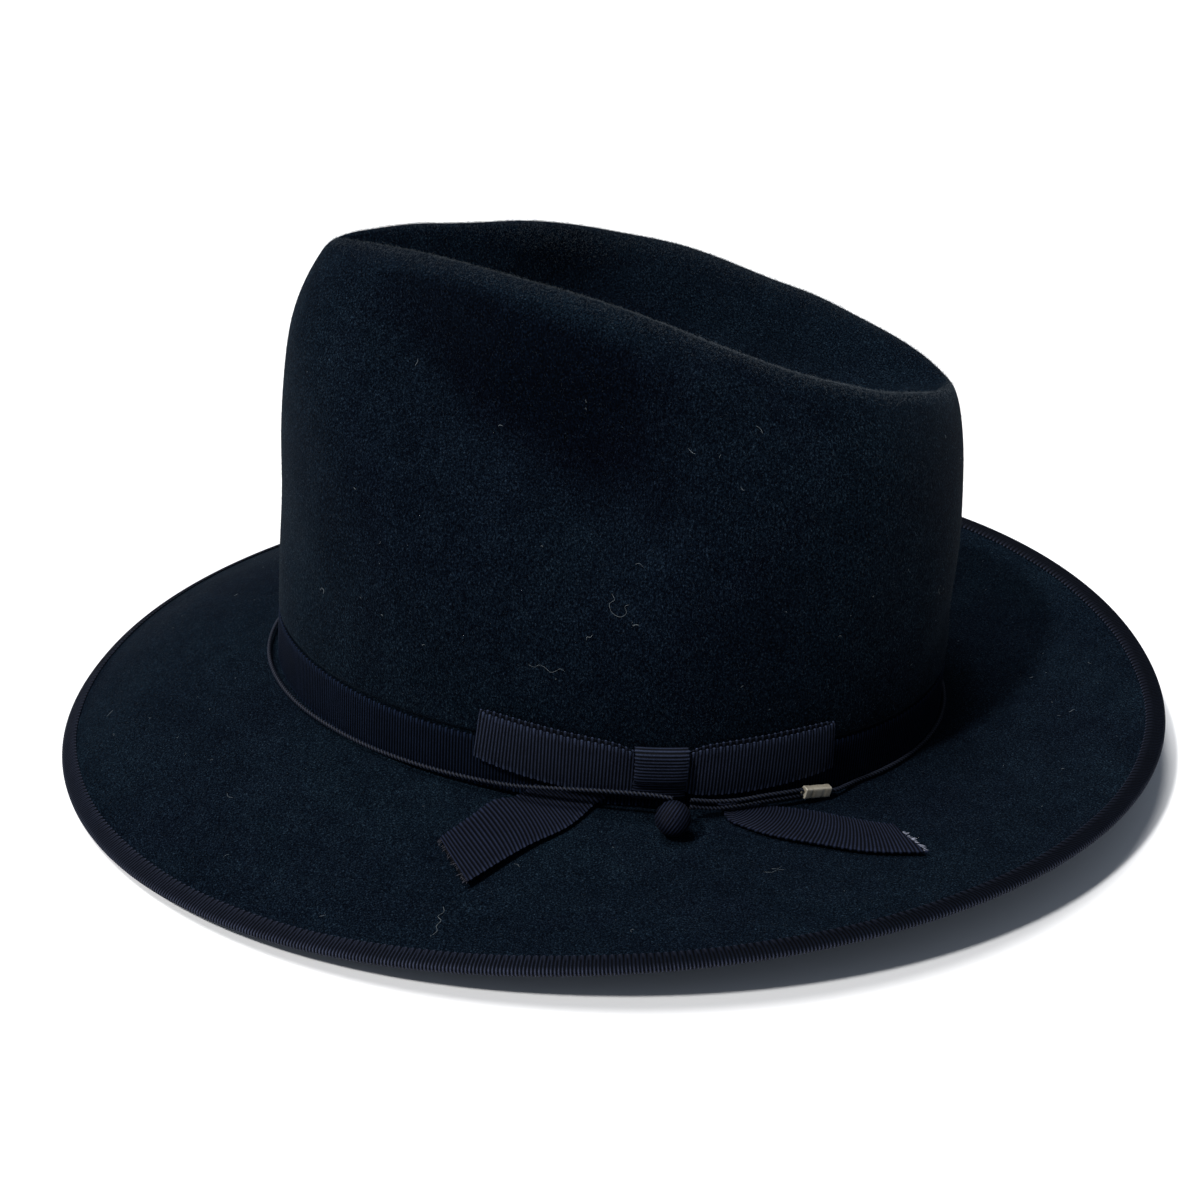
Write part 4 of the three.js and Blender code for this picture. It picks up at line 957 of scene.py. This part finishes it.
def bow_loop(name, node_name, side, rise, seed):
    far = 49.0
    th = 0.5
    inner_len = far - 0.6
    turn = 1.6
    total = inner_len * 2 + turn
    n = int(round(total / RIB * 6))
    s = np.arange(n + 1) / 6 * RIB * (total / (n / 6 * RIB))

    def place(S, T):
        bottom_fold = smooth((S - inner_len) / turn)
        out_layer = S < inner_len
        d = np.where(out_layer, 0.6 + S, np.where(S > inner_len + turn, total - S + 0.6, far + 0.35 * np.sin(np.pi * np.clip((S - inner_len) / turn, 0, 1))))
        # the end is folded a little aslant
        slant = (0.5 - T) * 1.5 * smooth((d - 30) / 19)
        dd = np.clip(d + slant, 0.4, 49.3 + 0.7)
        lift = rise * (np.minimum(dd, 49.3) / 49.3) ** 2
        b, t, off, thick = (f(dd) for f in loop_f)
        sag = 0.25 * np.sin(dd / 9.0 + seed) * smooth((dd - 8) / 10)
        z = b + lift + (t - b) * T
        outer = off + thick - th / 2 - 0.12 + 0.0 * sag
        inner = off + th / 2 + 0.08
        # the two layers part a little in the middle and meet at the fold; the inner one shows above the outer at the top
        offs = outer + (inner - outer) * bottom_fold
        z = z + np.where(out_layer, -0.22, 0.28) * smooth((dd - 6) / 8) * (1 - smooth((dd - 46) / 3)) * T + sag * 0.3
        a = angle_at(side * dd)
        belly = -0.3 * (2 * T - 1) ** 2
        return beside_foot(a, z, offs + np.where(out_layer, belly, 0.0) * smooth((dd - 9) / 6))

    def outer_side(S, T):
        e = 0.02
        ds = place(np.clip(S + e, 0, total), T) - place(np.clip(S - e, 0, total), T)
        dt = place(S, np.minimum(T + 0.02, 1.0)) - place(S, np.maximum(T - 0.02, 0.0))
        nrm = unit(np.cross(ds, dt))
        return nrm * (1.0 if side > 0 else -1.0)

    return strip(name, node_name, place, outer_side, 14.5, s, th, rib_height=0.12, cols=8, edge_shine=1.0)


bow_loop("bow_loop_front_ribbon", "bow_loop_front", -1, 1.1, 0.4)
bow_loop("bow_loop_back_ribbon", "bow_loop_back", 1, -1.0, 2.1)

# the knot: one turn of ribbon, its ribs level
mid_ring = np.array([(5.5, 1.75), (4.9, 2.1), (4.8, 2.9), (5.4, 3.35), (7.8, 3.7), (9.7, 3.85), (10.4, 4.2), (10.8, 4.95), (11.7, 5.4), (14.6, 5.4),
                     (18.0, 5.0), (19.4, 4.3), (19.8, 3.2), (19.5, 2.2), (18.6, 1.75), (12.4, 1.7)])
closed = np.vstack([mid_ring, mid_ring[:1]])
for _ in range(2):  # round the corners
    cut = [closed[0]]
    nxt = []
    m = closed[:-1]
    q1 = m * 0.75 + np.roll(m, -1, 0) * 0.25
    q2 = m * 0.25 + np.roll(m, -1, 0) * 0.75
    m2 = np.stack([q1, q2], 1).reshape(-1, 2)
    closed = np.vstack([m2, m2[:1]])
ring_len = np.concatenate([[0], np.cumsum(np.linalg.norm(np.diff(closed, axis=0), axis=1))])
knot_ribs = int(round(ring_len[-1] / RIB / 2)) * 2
kscale = ring_len[-1] / (knot_ribs * RIB)
ks = np.arange(knot_ribs * 6) / 6 * RIB
tangent2 = np.gradient(closed, axis=0)
tangent2 /= np.linalg.norm(tangent2, axis=1, keepdims=True)
normal2 = np.stack([-tangent2[:, 1], tangent2[:, 0]], -1)
centre2 = closed.mean(0)
if ((closed - centre2) * normal2).sum() < 0:
    normal2 = -normal2


def knot_at(S, T):
    L = (S * kscale) % ring_len[-1]
    z, off = np.interp(L, ring_len, closed[:, 0]), np.interp(L, ring_len, closed[:, 1])
    pull = 1 - 0.035 * np.exp(-(((z - 12.4) / 6) ** 2))
    a = angle_at((T - 0.5) * (KNOT_WIDTH - 0.5) * pull)
    crown = 0.22 * (1 - (2 * T - 1) ** 4)
    return beside_foot(a, z, off - 0.2 + crown)


def knot_out(S, T):
    L = (S * kscale) % ring_len[-1]
    nz, no = np.interp(L, ring_len, normal2[:, 0]), np.interp(L, ring_len, normal2[:, 1])
    a = angle_at((T - 0.5) * (KNOT_WIDTH - 0.5))
    return unit(vec(0, 0, 1) * nz[..., None] + outwards(a) * no[..., None])


strip("bow_knot_ribbon", "bow_knot", knot_at, knot_out, KNOT_WIDTH, ks, 0.55, rib_height=0.15, wrap=True, cols=10, edge_shine=0.25)

FRONT_TAIL = np.array([
    (82.2, -16.1, 0.6, 84.6, 1.6, 0.6), (84.4, -23.4, 0.6, 92.6, -3.4, 0.7), (92.8, -29.4, 0.9, 102.1, -12.9, 1.0), (102.1, -35.6, 1.4, 117.9, -26.0, 1.9),
])
BACK_TAIL = np.array([
    (78.4, 36.4, 0.5, 82.2, 34.6, 0.6), (75.6, 46.6, 0.5, 89.6, 48.2, 0.7), (76.0, 57.0, 0.5, 93.6, 61.6, 0.9), (79.2, 68.6, 0.7, 97.0, 73.6, 1.1),
    (83.4, 80.6, 1.3, 98.4, 86.8, 1.2),
])
tail_ends = {}


def tail(name, node_name, table, seed, wave, root, slant):
    """root gives the angles of the tail's two edges where it comes down from behind the bow, and how high it starts."""
    idx = np.arange(len(table))
    f = [through(idx, table[:, c]) for c in range(6)]
    dense = np.linspace(0, len(table) - 1, 60)
    ts = np.linspace(-0.02, 1.02, 40)
    D, GT = np.meshgrid(dense, ts, indexing="ij")
    gx = f[0](D) * (1 - GT) + f[3](D) * GT
    gy = f[1](D) * (1 - GT) + f[4](D) * GT
    gz = brim_height(gx, gy) + f[2](D) * (1 - GT) + f[5](D) * GT
    on_brim = vec(gx, gy, gz + 0.45)
    skip = int(np.argmax(np.linalg.norm(on_brim[:, 20] - on_brim[0, 20], axis=1) > 3.2))
    a_root = root[0] * (1 - ts) + root[1] * ts
    up = [beside_foot(np.radians(a_root + root[3] * z), np.full(len(ts), z), np.full(len(ts), off)) for z, off in ((root[2], 1.62), (root[2] * 0.62, 1.7), (root[2] * 0.3, 2.0))]
    lines = []
    for j in range(len(ts)):
        knots = [u[j] for u in up] + list(on_brim[skip:, j][::3]) + [on_brim[-1, j]]
        if np.linalg.norm(knots[-1] - knots[-2]) < 0.3:
            knots.pop(-2)
        fine_line, _ = resample(np.array(knots), 0.2)
        k = np.linspace(0, len(fine_line) - 1, 160)
        lines.append(np.stack([np.interp(k, np.arange(len(fine_line)), fine_line[:, c]) for c in range(3)], -1))
    G = np.stack(lines, 1)
    length = float(np.linalg.norm(np.diff(G[:, 20], axis=0), axis=1).sum())
    n = int(round(length / RIB * 6))
    s = np.linspace(0, length, n + 1)
    cols = 9

    def place(S, T):
        x = np.clip(np.asarray(S, float) / length * 159, 0, 158.999)
        aslant = (slant[0] + (slant[1] - slant[0]) * smooth((x / 159 - 0.45) / 0.55)) * (1 - np.asarray(T, float)) / length * 159
        x = np.minimum(np.maximum(x - aslant, 0.04 * x), 158.999 - 0.04 * (158.999 - x))
        y = np.clip((np.asarray(T, float) - ts[0]) / (ts[-1] - ts[0]) * (len(ts) - 1), 0, len(ts) - 1.001)
        x, y = np.broadcast_arrays(x, y)
        i, j = x.astype(int), y.astype(int)
        fx, fy = (x - i)[..., None], (y - j)[..., None]
        p = (G[i, j] * (1 - fx) + G[i + 1, j] * fx) * (1 - fy) + (G[i, j + 1] * (1 - fx) + G[i + 1, j + 1] * fx) * fy
        ripple = 0.14 * np.sin(S / wave + 1.3 * T + seed) * smooth((S - 8) / 14)
        return p + vec(0, 0, 1) * np.broadcast_to(ripple, x.shape)[..., None]

    def out(S, T):
        ds = place(np.clip(S + 0.3, 0, length), T) - place(np.clip(S - 0.3, 0, length), T)
        dt = place(S, np.minimum(T + 0.03, 1.0)) - place(S, np.maximum(T - 0.03, 0.0))
        nrm = unit(np.cross(ds, dt))
        toward = vec(0.75, 0, 0.66)
        return np.where((nrm * toward).sum(-1, keepdims=True) < 0, -nrm, nrm)

    def ragged(front, back, S, T):
        rng = np.random.default_rng(int(seed * 10) + 5)
        j = np.arange(front.shape[1])
        bite = rng.uniform(-0.5, 0.55, front.shape[1]) + np.where(j % 2 == 0, 0.3, -0.25)
        ds = unit(front[-1] - front[-4])
        for layer in (front, back):
            layer[-1] += ds * (bite * 0.8)[:, None]
            layer[-2] += ds * (bite * 0.3)[:, None]
        return front, back

    ob = strip(name, node_name, place, out, 15.0, s, 0.5, rib_height=0.16, cols=cols, edge_shine=0.5, ragged=ragged, material=shaded_tail_mat)
    tail_ends[name] = (place, out, length)
    return ob


tail("bow_tail_front_ribbon", "bow_tail_front", FRONT_TAIL, 0.9, 5.0, (79.6, 90.6, 5.0, 0.62), (12.5, 0.0))
tail("bow_tail_back_ribbon", "bow_tail_back", BACK_TAIL, 2.3, 6.5, (114.0, 110.5, 6.0, -0.62), (-4.2, -3.0))


# ---------------------------------------------------------------------------------------------
# thin round things: threads, hairs
# ---------------------------------------------------------------------------------------------
def threads(name, lines, radius, material, sides=4):
    all_p, tri, quad, base = [], [], [], 0
    for points, r in lines:
        pts_, _ = np.asarray(points, float), 0
        t, u, v = frames(pts_)
        g = 2 * np.pi * np.arange(sides) / sides
        taper = np.clip(np.minimum(np.arange(len(pts_)) + 0.35, len(pts_) - 0.65 - np.arange(len(pts_))) / 1.2, 0.3, 1)
        rings = pts_[:, None] + (u[:, None] * np.cos(g)[None, :, None] + v[:, None] * np.sin(g)[None, :, None]) * (r * radius * taper)[:, None, None]
        p, f = tube(rings)
        all_p.append(p)
        quad.append(f[0] + base)
        tri.extend(x + base for x in f[1:])
        base += len(p)
    return build(name, np.concatenate(all_p), [np.concatenate(quad), np.concatenate(tri)], material)


def end_threads(key, seed, t_range, count, out_len, drop):
    place, out, length = tail_ends[key]
    rng = np.random.default_rng(seed)
    lines = []
    for _ in range(count):
        T = rng.uniform(*t_range)
        p0 = place(np.array(length - 0.6), np.array(T))
        o = out(np.array(length - 0.6), np.array(T))
        ahead = unit(place(np.array(length), np.array(T)) - place(np.array(length - 2.0), np.array(T)))
        sideways = np.cross(o, ahead)
        L = rng.uniform(*out_len)
        bend, slope = rng.normal(0, 0.6), rng.normal(0.0, 0.9)
        k = np.linspace(0, 1, 6)[:, None]
        p = p0 + o * (0.1 + 0.25 * rng.random()) + ahead * k * (0.5 + L * (1 - 0.4 * abs(math.sin(slope)))) + sideways * (k * slope * L * 0.5 + bend * k**2 * L * 0.4) + o * (0.2 * k - drop * k**2)
        lines.append((on_floor(p), rng.uniform(0.7, 1.2)))
    return lines


threads("tail_fray_back", end_threads("bow_tail_back_ribbon", 5, (0.28, 1.0), 46, (0.3, 1.2), 0.25), 0.085, fray_mat)
# painted shade: the front tail's frayed threads are coloured dark for the shadowed fringe at its end
threads("tail_fray_front", end_threads("bow_tail_front_ribbon", 6, (0.0, 1.0), 44, (0.4, 1.6), 0.5), 0.08, thread_material("frayed_ends_painted_shade", (0.012, 0.012, 0.018), (0.05, 0.052, 0.07)))

# ---------------------------------------------------------------------------------------------
# wind cord: two yarns laid round each other
# ---------------------------------------------------------------------------------------------
CORD = np.array([
    (-225, 2.4, 1.3), (-60, 2.4, 1.6), (-20, 2.9, 1.5), (15, 3.9, 1.5), (32, 3.4, 1.5), (48, 2.5, 1.8), (64, 2.4, 2.6), (72, 2.5, 3.2),
    (77.4, 3.5, 4.3), (82, 4.9, 5.9), (88, 5.3, 7.3), (92, 5.6, 7.8), (96, 6.3, 8.2), (100, 6.9, 8.2), (102, 7.3, 7.6),
])
STRANDS = np.array([
    (104.6, 6.6, 6.5, 6.6, 4.4), (108.4, 5.4, 4.9, 5.6, 2.9), (112.2, 4.9, 4.5, 5.0, 2.8), (116, 4.6, 4.8, 4.6, 3.1), (119, 4.5, 4.8, 4.5, 3.1),
])
FERRULE_DEG, FERRULE_OFF, FERRULE_Z, FERRULE_DROP = 125.0, 4.4, 3.2, 0.7
FERRULE_LENGTH, FERRULE_HEIGHT, FERRULE_DEPTH = 8.4, 3.3, 2.4
fa = math.radians(FERRULE_DEG)
ferrule_c = beside_foot(fa, FERRULE_Z, FERRULE_OFF)
f_along = (head_line(fa + 0.01) - head_line(fa - 0.01)) * [1, 1, 0]
f_along = unit(f_along)
f_along[2] = -FERRULE_DROP / (FERRULE_LENGTH / 2)
f_along = unit(f_along)
f_out = outwards(fa)
f_up = unit(-np.cross(f_along, f_out))
if f_up[2] < 0:
    f_up = -f_up


def twisted(name, node_name, points, diameter=1.26, pitch=2.3, step=0.29, sides=10):
    line, length = resample(points, step)
    t, u, v = frames(line)
    s = np.linspace(0, length, len(line))
    turn = 2 * np.pi * s / pitch
    g = 2 * np.pi * np.arange(sides) / sides
    r0, offset = diameter / 2 * 0.53, diameter / 2 * 0.49
    G = g[None, :] - turn[:, None]
    # outline of two round yarns side by side, as seen from the middle
    reach = offset * np.abs(np.cos(G)) + np.sqrt(np.maximum(r0**2 - (offset * np.sin(G)) ** 2, 0))
    p = line[:, None] + (u[:, None] * np.cos(g)[None, :, None] + v[:, None] * np.sin(g)[None, :, None]) * reach[..., None]
    pp, f = tube(p)
    # reach of the yarns, used for the cord's painted shade and highlight
    yarn_shade = (reach - reach.min()) / (reach.max() - reach.min())
    yarn_shade = np.concatenate([yarn_shade.ravel(), [0.5, 0.5]])
    return build(name, on_floor(pp), f, cord_mat, [node_name], attrs={"rib": yarn_shade}), length


off_f, z_f = through(CORD[:, 0], CORD[:, 1]), through(CORD[:, 0], CORD[:, 2])
cord_points = [ferrule_c + f_along * (FERRULE_LENGTH / 2 + d) for d in (0.3, 2.2)]
d = FERRULE_DEG + 9.5 - 360
while d < 100:
    cord_points.append(beside_foot(math.radians(d), z_f(d), off_f(d)))
    d += 4.5
cord_points.append(beside_foot(math.radians(CORD[-1, 0]), CORD[-1, 2], CORD[-1, 1]))
_, cord_length = twisted("wind_cord_twist", "wind_cord", cord_points)
for name, node_name, oc, zc, h in (("cord_strand_upper_twist", "cord_strand_upper", 1, 2, 0.82), ("cord_strand_lower_twist", "cord_strand_lower", 3, 4, -0.82)):
    points = [beside_foot(math.radians(r[0]), r[zc], r[oc]) for r in STRANDS]
    points.append(ferrule_c - f_along * (FERRULE_LENGTH / 2 + 0.4) + f_up * h)
    twisted(name, node_name, points)

# ---------------------------------------------------------------------------------------------
# ferrule: a short crimped sleeve
# ---------------------------------------------------------------------------------------------
L, H, D = FERRULE_LENGTH / 2 - 0.04, FERRULE_HEIGHT / 2 - 0.04, FERRULE_DEPTH / 2 - 0.04
steps, around = 61, 40
xs = np.concatenate([[-L, -L, -L + 0.06], np.linspace(-L + 0.2, L - 0.2, steps - 6), [L - 0.06, L, L]])
shrink = np.ones(len(xs))
shrink[0] = shrink[-1] = 0.8
shrink[1] = shrink[-2] = 0.93
shrink[2] = shrink[-3] = 0.975
g = 2 * np.pi * np.arange(around) / around
power = 0.36
cx, cz = np.sign(np.cos(g)) * np.abs(np.cos(g)) ** power, np.sign(np.sin(g)) * np.abs(np.sin(g)) ** power
rings = []
for x, k in zip(xs, shrink):
    pinch = 1 - 0.06 * (math.exp(-(((x + 1.9) / 0.55) ** 2)) + math.exp(-(((x - 1.9) / 0.55) ** 2))) - 0.03 * math.exp(-((x / 2.5) ** 2))
    skew = 0.10 * math.sin(x * 0.7)
    rings.append([ferrule_c + f_along * x + f_out * (c * D * k * pinch) + f_up * (s_ * H * k * (0.5 + 0.5 * pinch) + skew * 0.3) for c, s_ in zip(cx, cz)])
p, f = tube(np.array(rings))
build("ferrule_sleeve", on_floor(p), f, brass_mat, ["cord_ferrule"], sharp=50)

# ---------------------------------------------------------------------------------------------
# button: a domed disc covered with ribbon
# ---------------------------------------------------------------------------------------------
BUTTON = np.array([91.6, 23.2, 5.3])
axis = unit(np.array([math.cos(math.radians(38)), 0.12, math.sin(math.radians(38))]))
profile = np.array([(0, -0.62), (0.3, -0.62), (0.55, -0.62), (0.74, -0.58), (0.86, -0.5), (0.96, -0.36), (1.0, -0.2), (1.0, -0.05), (0.99, 0.1), (0.96, 0.25), (0.92, 0.37),
                    (0.85, 0.49), (0.76, 0.6), (0.64, 0.69), (0.52, 0.76), (0.4, 0.81), (0.27, 0.84), (0.14, 0.862), (0.05, 0.868)])
fine_t = np.linspace(0, 1, 46)
seg = np.concatenate([[0], np.cumsum(np.hypot(*np.diff(profile, axis=0).T))])
seg /= seg[-1]
pr, ph = np.interp(fine_t, seg, profile[:, 0]), np.interp(fine_t, seg, profile[:, 1])
around = 96
g = 2 * np.pi * np.arange(around) / around
b1 = unit(np.cross(axis, [0, 0, 1.0]))
b2 = np.cross(axis, b1)
if b2[2] < 0:
    b1, b2 = -b1, -b2
# ribs run up to the right across the dome
rib_dir = math.radians(52)
P, G = np.meshgrid(np.arange(len(pr)), g, indexing="ij")
rr, hh = pr[P] * BUTTON_RADIUS, ph[P] * BUTTON_RADIUS
xx, yy = rr * np.cos(G), rr * np.sin(G)
spread = 1 + 0.22 * (rr / BUTTON_RADIUS) ** 2  # the cloth turns over the rim, so its ribs crowd there
coordinate = (-xx * math.sin(rib_dir) + yy * math.cos(rib_dir)) * spread
height = rib_profile((coordinate / (RIB * 1.0)) % 1.0)
fade = smooth((hh / BUTTON_RADIUS + 0.45) / 0.3)
pleat = 0.05 * np.sin(G * 11) * smooth((rr / BUTTON_RADIUS - 0.8) / 0.2) * (1 - fade * 0.6)
scale_r = 0.985 - 0.0 * rr
q = BUTTON_RADIUS
n_r = np.gradient(pr)
n_h = np.gradient(ph)
nr, nh = n_h / np.hypot(n_r, n_h), -n_r / np.hypot(n_r, n_h)
lift_b = 0.17 * height * fade - 0.14
rr2 = rr * 1.0 + nr[P] * (lift_b + pleat)
hh2 = hh + nh[P] * (lift_b + pleat)
centre = on_floor(BUTTON)
p = centre + b1 * (rr2 * np.cos(G))[..., None] + b2 * (rr2 * np.sin(G))[..., None] + axis * hh2[..., None]
pp, f = tube(p)
attr = lambda v: np.concatenate([v.ravel(), [0.5, 0.5]])
build("button_cover", pp, f, shaded_tail_mat, ["cord_button"], attrs={"rib": attr(height), "across_mm": attr(xx * math.cos(rib_dir) + yy * math.sin(rib_dir)), "edge": attr(height * 0)})

# ---------------------------------------------------------------------------------------------
# lint: a few curled hairs and specks that lie on the felt
# ---------------------------------------------------------------------------------------------
def felt_point(kind, a, r):
    a, r = np.asarray(a, float), np.asarray(r, float)
    return brim_top(a, r) if kind == "brim" else wall(a, r)


def hair(kind, a0, r0, shape, rise=0.22):
    """A hair whose shape is given in millimetres along and up the surface, from the point a0, r0."""
    e = 1e-3
    a0 = np.asarray(a0, float)
    p0 = felt_point(kind, a0, r0)
    da = (felt_point(kind, a0 + e, r0) - p0) / e
    dr = (felt_point(kind, a0, r0 + e) - p0) / e
    la, lr = np.linalg.norm(da), np.linalg.norm(dr)
    sgn = -1.0 if kind == "brim" else 1.0
    pts_, _ = resample(np.array([(x, y, 0.0) for x, y in shape]), 0.35)
    aa, r_ = a0 + pts_[:, 0] / la, r0 + sgn * pts_[:, 1] / lr
    q = felt_point(kind, aa, r_)
    n = np.cross(felt_point(kind, aa + e, r_) - q, felt_point(kind, aa, r_ + e) - q)
    n = unit(n)
    if kind == "brim":
        n = np.where(n[..., 2:3] < 0, -n, n)
    else:
        n = np.where((n * outwards(aa)).sum(-1, keepdims=True) < 0, -n, n)
    un = uneven(q) * 0.42 * (smooth((r_ - first.mean()) / 1.0) if kind == "wall" else 0.0)
    return on_floor(q + n * (rise + np.maximum(un, 0))[..., None])


lint_rng = np.random.default_rng(31)
lint_lines = []
deg = math.radians
curls = [
    ("wall", deg(92), 3.1, [(-1.2, 3.4), (-0.4, 2.0), (-1.6, 0.6), (-0.6, -1.4), (1.6, -1.9), (3.0, -0.6), (2.5, 0.9), (3.6, 1.7)], 0.7),
    ("wall", deg(95), 3.75, [(-1.1, 0.7), (0.2, 1.2), (1.4, 0.5)], 0.55),
    ("wall", deg(83), 2.15, [(-5.0, 0.6), (-3.4, 0.2), (-2.2, 1.0), (-0.6, 0.5), (0.8, -0.5), (2.2, 0.1), (3.4, 0.9), (4.6, 0.2)], 0.6),
    ("wall", deg(40), 2.2, [(0, 0), (0.8, 1.0), (1.9, 0.7), (1.6, -0.4)], 0.8),
    ("wall", deg(51), 6.7, [(0, -1.5), (0.2, 0), (-0.1, 1.2), (0.3, 2.2)], 0.9),
    ("brim", deg(78.5), 0.77, [(-0.8, 5.0), (0.1, 3.2), (-0.7, 1.4), (0.6, 0.2), (0.2, -1.8), (1.0, -3.4), (0.5, -5.0)], 0.9),
    ("brim", deg(111.5), 0.48, [(-2.6, 0.2), (-0.8, -0.4), (1.0, 0.2), (2.8, -0.1)], 0.6),
    ("brim", deg(112), 0.47, [(-1.4, 0.5), (0.2, 0.2), (1.6, 0.9)], 0.5),
    ("brim", deg(47), 0.55, [(-1.4, 0.5), (0.2, -0.2), (1.6, 0.4)], 0.6),
]
for kind, a0, r0, shape, r in curls:
    lint_lines.append((hair(kind, a0, r0, shape), r))
for _ in range(150):
    if lint_rng.random() < 0.55:
        kind, a0, r0 = "wall", lint_rng.uniform(0, 2 * math.pi), lint_rng.uniform(1.8, 7.2)
    else:
        kind, a0, r0 = "brim", lint_rng.uniform(0, 2 * math.pi), lint_rng.uniform(0.12, 0.86)
    size = lint_rng.uniform(0.25, 1.3) if lint_rng.random() < 0.8 else lint_rng.uniform(1.3, 3.0)
    th = lint_rng.uniform(0, math.pi)
    shape = [(0, 0)]
    for i in range(3):
        th += lint_rng.normal(0, 0.75)
        shape.append((shape[-1][0] + size / 3 * math.cos(th), shape[-1][1] + size / 3 * math.sin(th)))
    lint_lines.append((hair(kind, a0, r0, shape, 0.15), lint_rng.uniform(0.55, 1.1)))
threads("lint_hairs", lint_lines, 0.055, lint_mat)

# ---------------------------------------------------------------------------------------------
# floor, light and camera
# ---------------------------------------------------------------------------------------------
floor_mesh = bpy.data.meshes.new("floor")
size = 9.0
floor_mesh.from_pydata([(-size, -size, 0), (size, -size, 0), (size, size, 0), (-size, size, 0)], [], [(0, 1, 2, 3)])
floor = bpy.data.objects.new("floor", floor_mesh)
bpy.context.scene.collection.objects.link(floor)
floor_mat, floor_nt, floor_bsdf = new_material("floor_white")
floor_bsdf.inputs["Base Color"].default_value = (0.90, 0.90, 0.905, 1)
floor_bsdf.inputs["Roughness"].default_value = 0.9
floor_bsdf.inputs["Specular IOR Level"].default_value = 0.05
floor_mesh.materials.append(floor_mat)

world = bpy.data.worlds.new("studio")
bpy.context.scene.world = world
world.use_nodes = True
world.node_tree.nodes["Background"].inputs["Color"].default_value = (0.72, 0.83, 1.0, 1)
world.node_tree.nodes["Background"].inputs["Strength"].default_value = 0.22


def sun(name, deg_from_front, elevation, strength, angle, colour):
    light = bpy.data.lights.new(name, "SUN")
    light.energy = strength
    light.angle = math.radians(angle)
    light.color = colour
    ob = bpy.data.objects.new(name, light)
    a, e_ = math.radians(deg_from_front), math.radians(elevation)
    way = Vector((math.sin(a) * math.cos(e_), -math.cos(a) * math.cos(e_), math.sin(e_)))
    ob.rotation_mode = "QUATERNION"
    ob.rotation_quaternion = way.to_track_quat("Z", "Y")
    ob.location = way * 2
    bpy.context.scene.collection.objects.link(ob)
    return ob


sun("overhead", -8, 76, 2.1, 20, (1.0, 0.995, 0.985))
sun("key", 40, 55, 2.5, 4.5, (1.0, 0.99, 0.975))
sun("rim", -70, 24, 0.14, 40, (0.90, 0.96, 1.0))

scene = bpy.context.scene
scene.view_settings.view_transform = "Standard"
scene.view_settings.look = "None"
scene.view_settings.exposure = 0.0
scene.view_settings.gamma = 1.0

el, az, roll = math.radians(24.0655), math.radians(4.6), math.radians(0.6152)
distance, f_px, lu, lv = 411.663, 1350.0, 8.3667, -75.7034
dv = np.array([math.cos(el) * math.cos(az), math.cos(el) * math.sin(az), math.sin(el)])
C = np.array([0, 0, 45.0]) + dv * distance + np.array([0, SHIFT_Y, LIFT])
fw = -dv
r_ = unit(np.cross(fw, [0, 0, 1.0]))
u_ = np.cross(r_, fw)
pan, tilt = math.atan2(lu, f_px), math.atan2(lv, f_px)
r2 = r_ * math.cos(pan) + fw * math.sin(pan)
fw2 = -r_ * math.sin(pan) + fw * math.cos(pan)
u2 = u_ * math.cos(tilt) - fw2 * math.sin(tilt)
fw3 = u_ * math.sin(tilt) + fw2 * math.cos(tilt)
r3 = r2 * math.cos(roll) - u2 * math.sin(roll)
u3 = r2 * math.sin(roll) + u2 * math.cos(roll)
cam_data = bpy.data.cameras.new("camera")
cam_data.sensor_width = 36.0
cam_data.lens = f_px / 1200 * 36.0
cam_data.clip_start, cam_data.clip_end = 0.01, 50
cam = bpy.data.objects.new("camera", cam_data)
scene.collection.objects.link(cam)
m4 = Matrix.Identity(4)
for i in range(3):
    m4[i][0], m4[i][1], m4[i][2], m4[i][3] = r3[i], u3[i], -fw3[i], C[i] * 0.001
cam.matrix_world = m4
scene.camera = cam
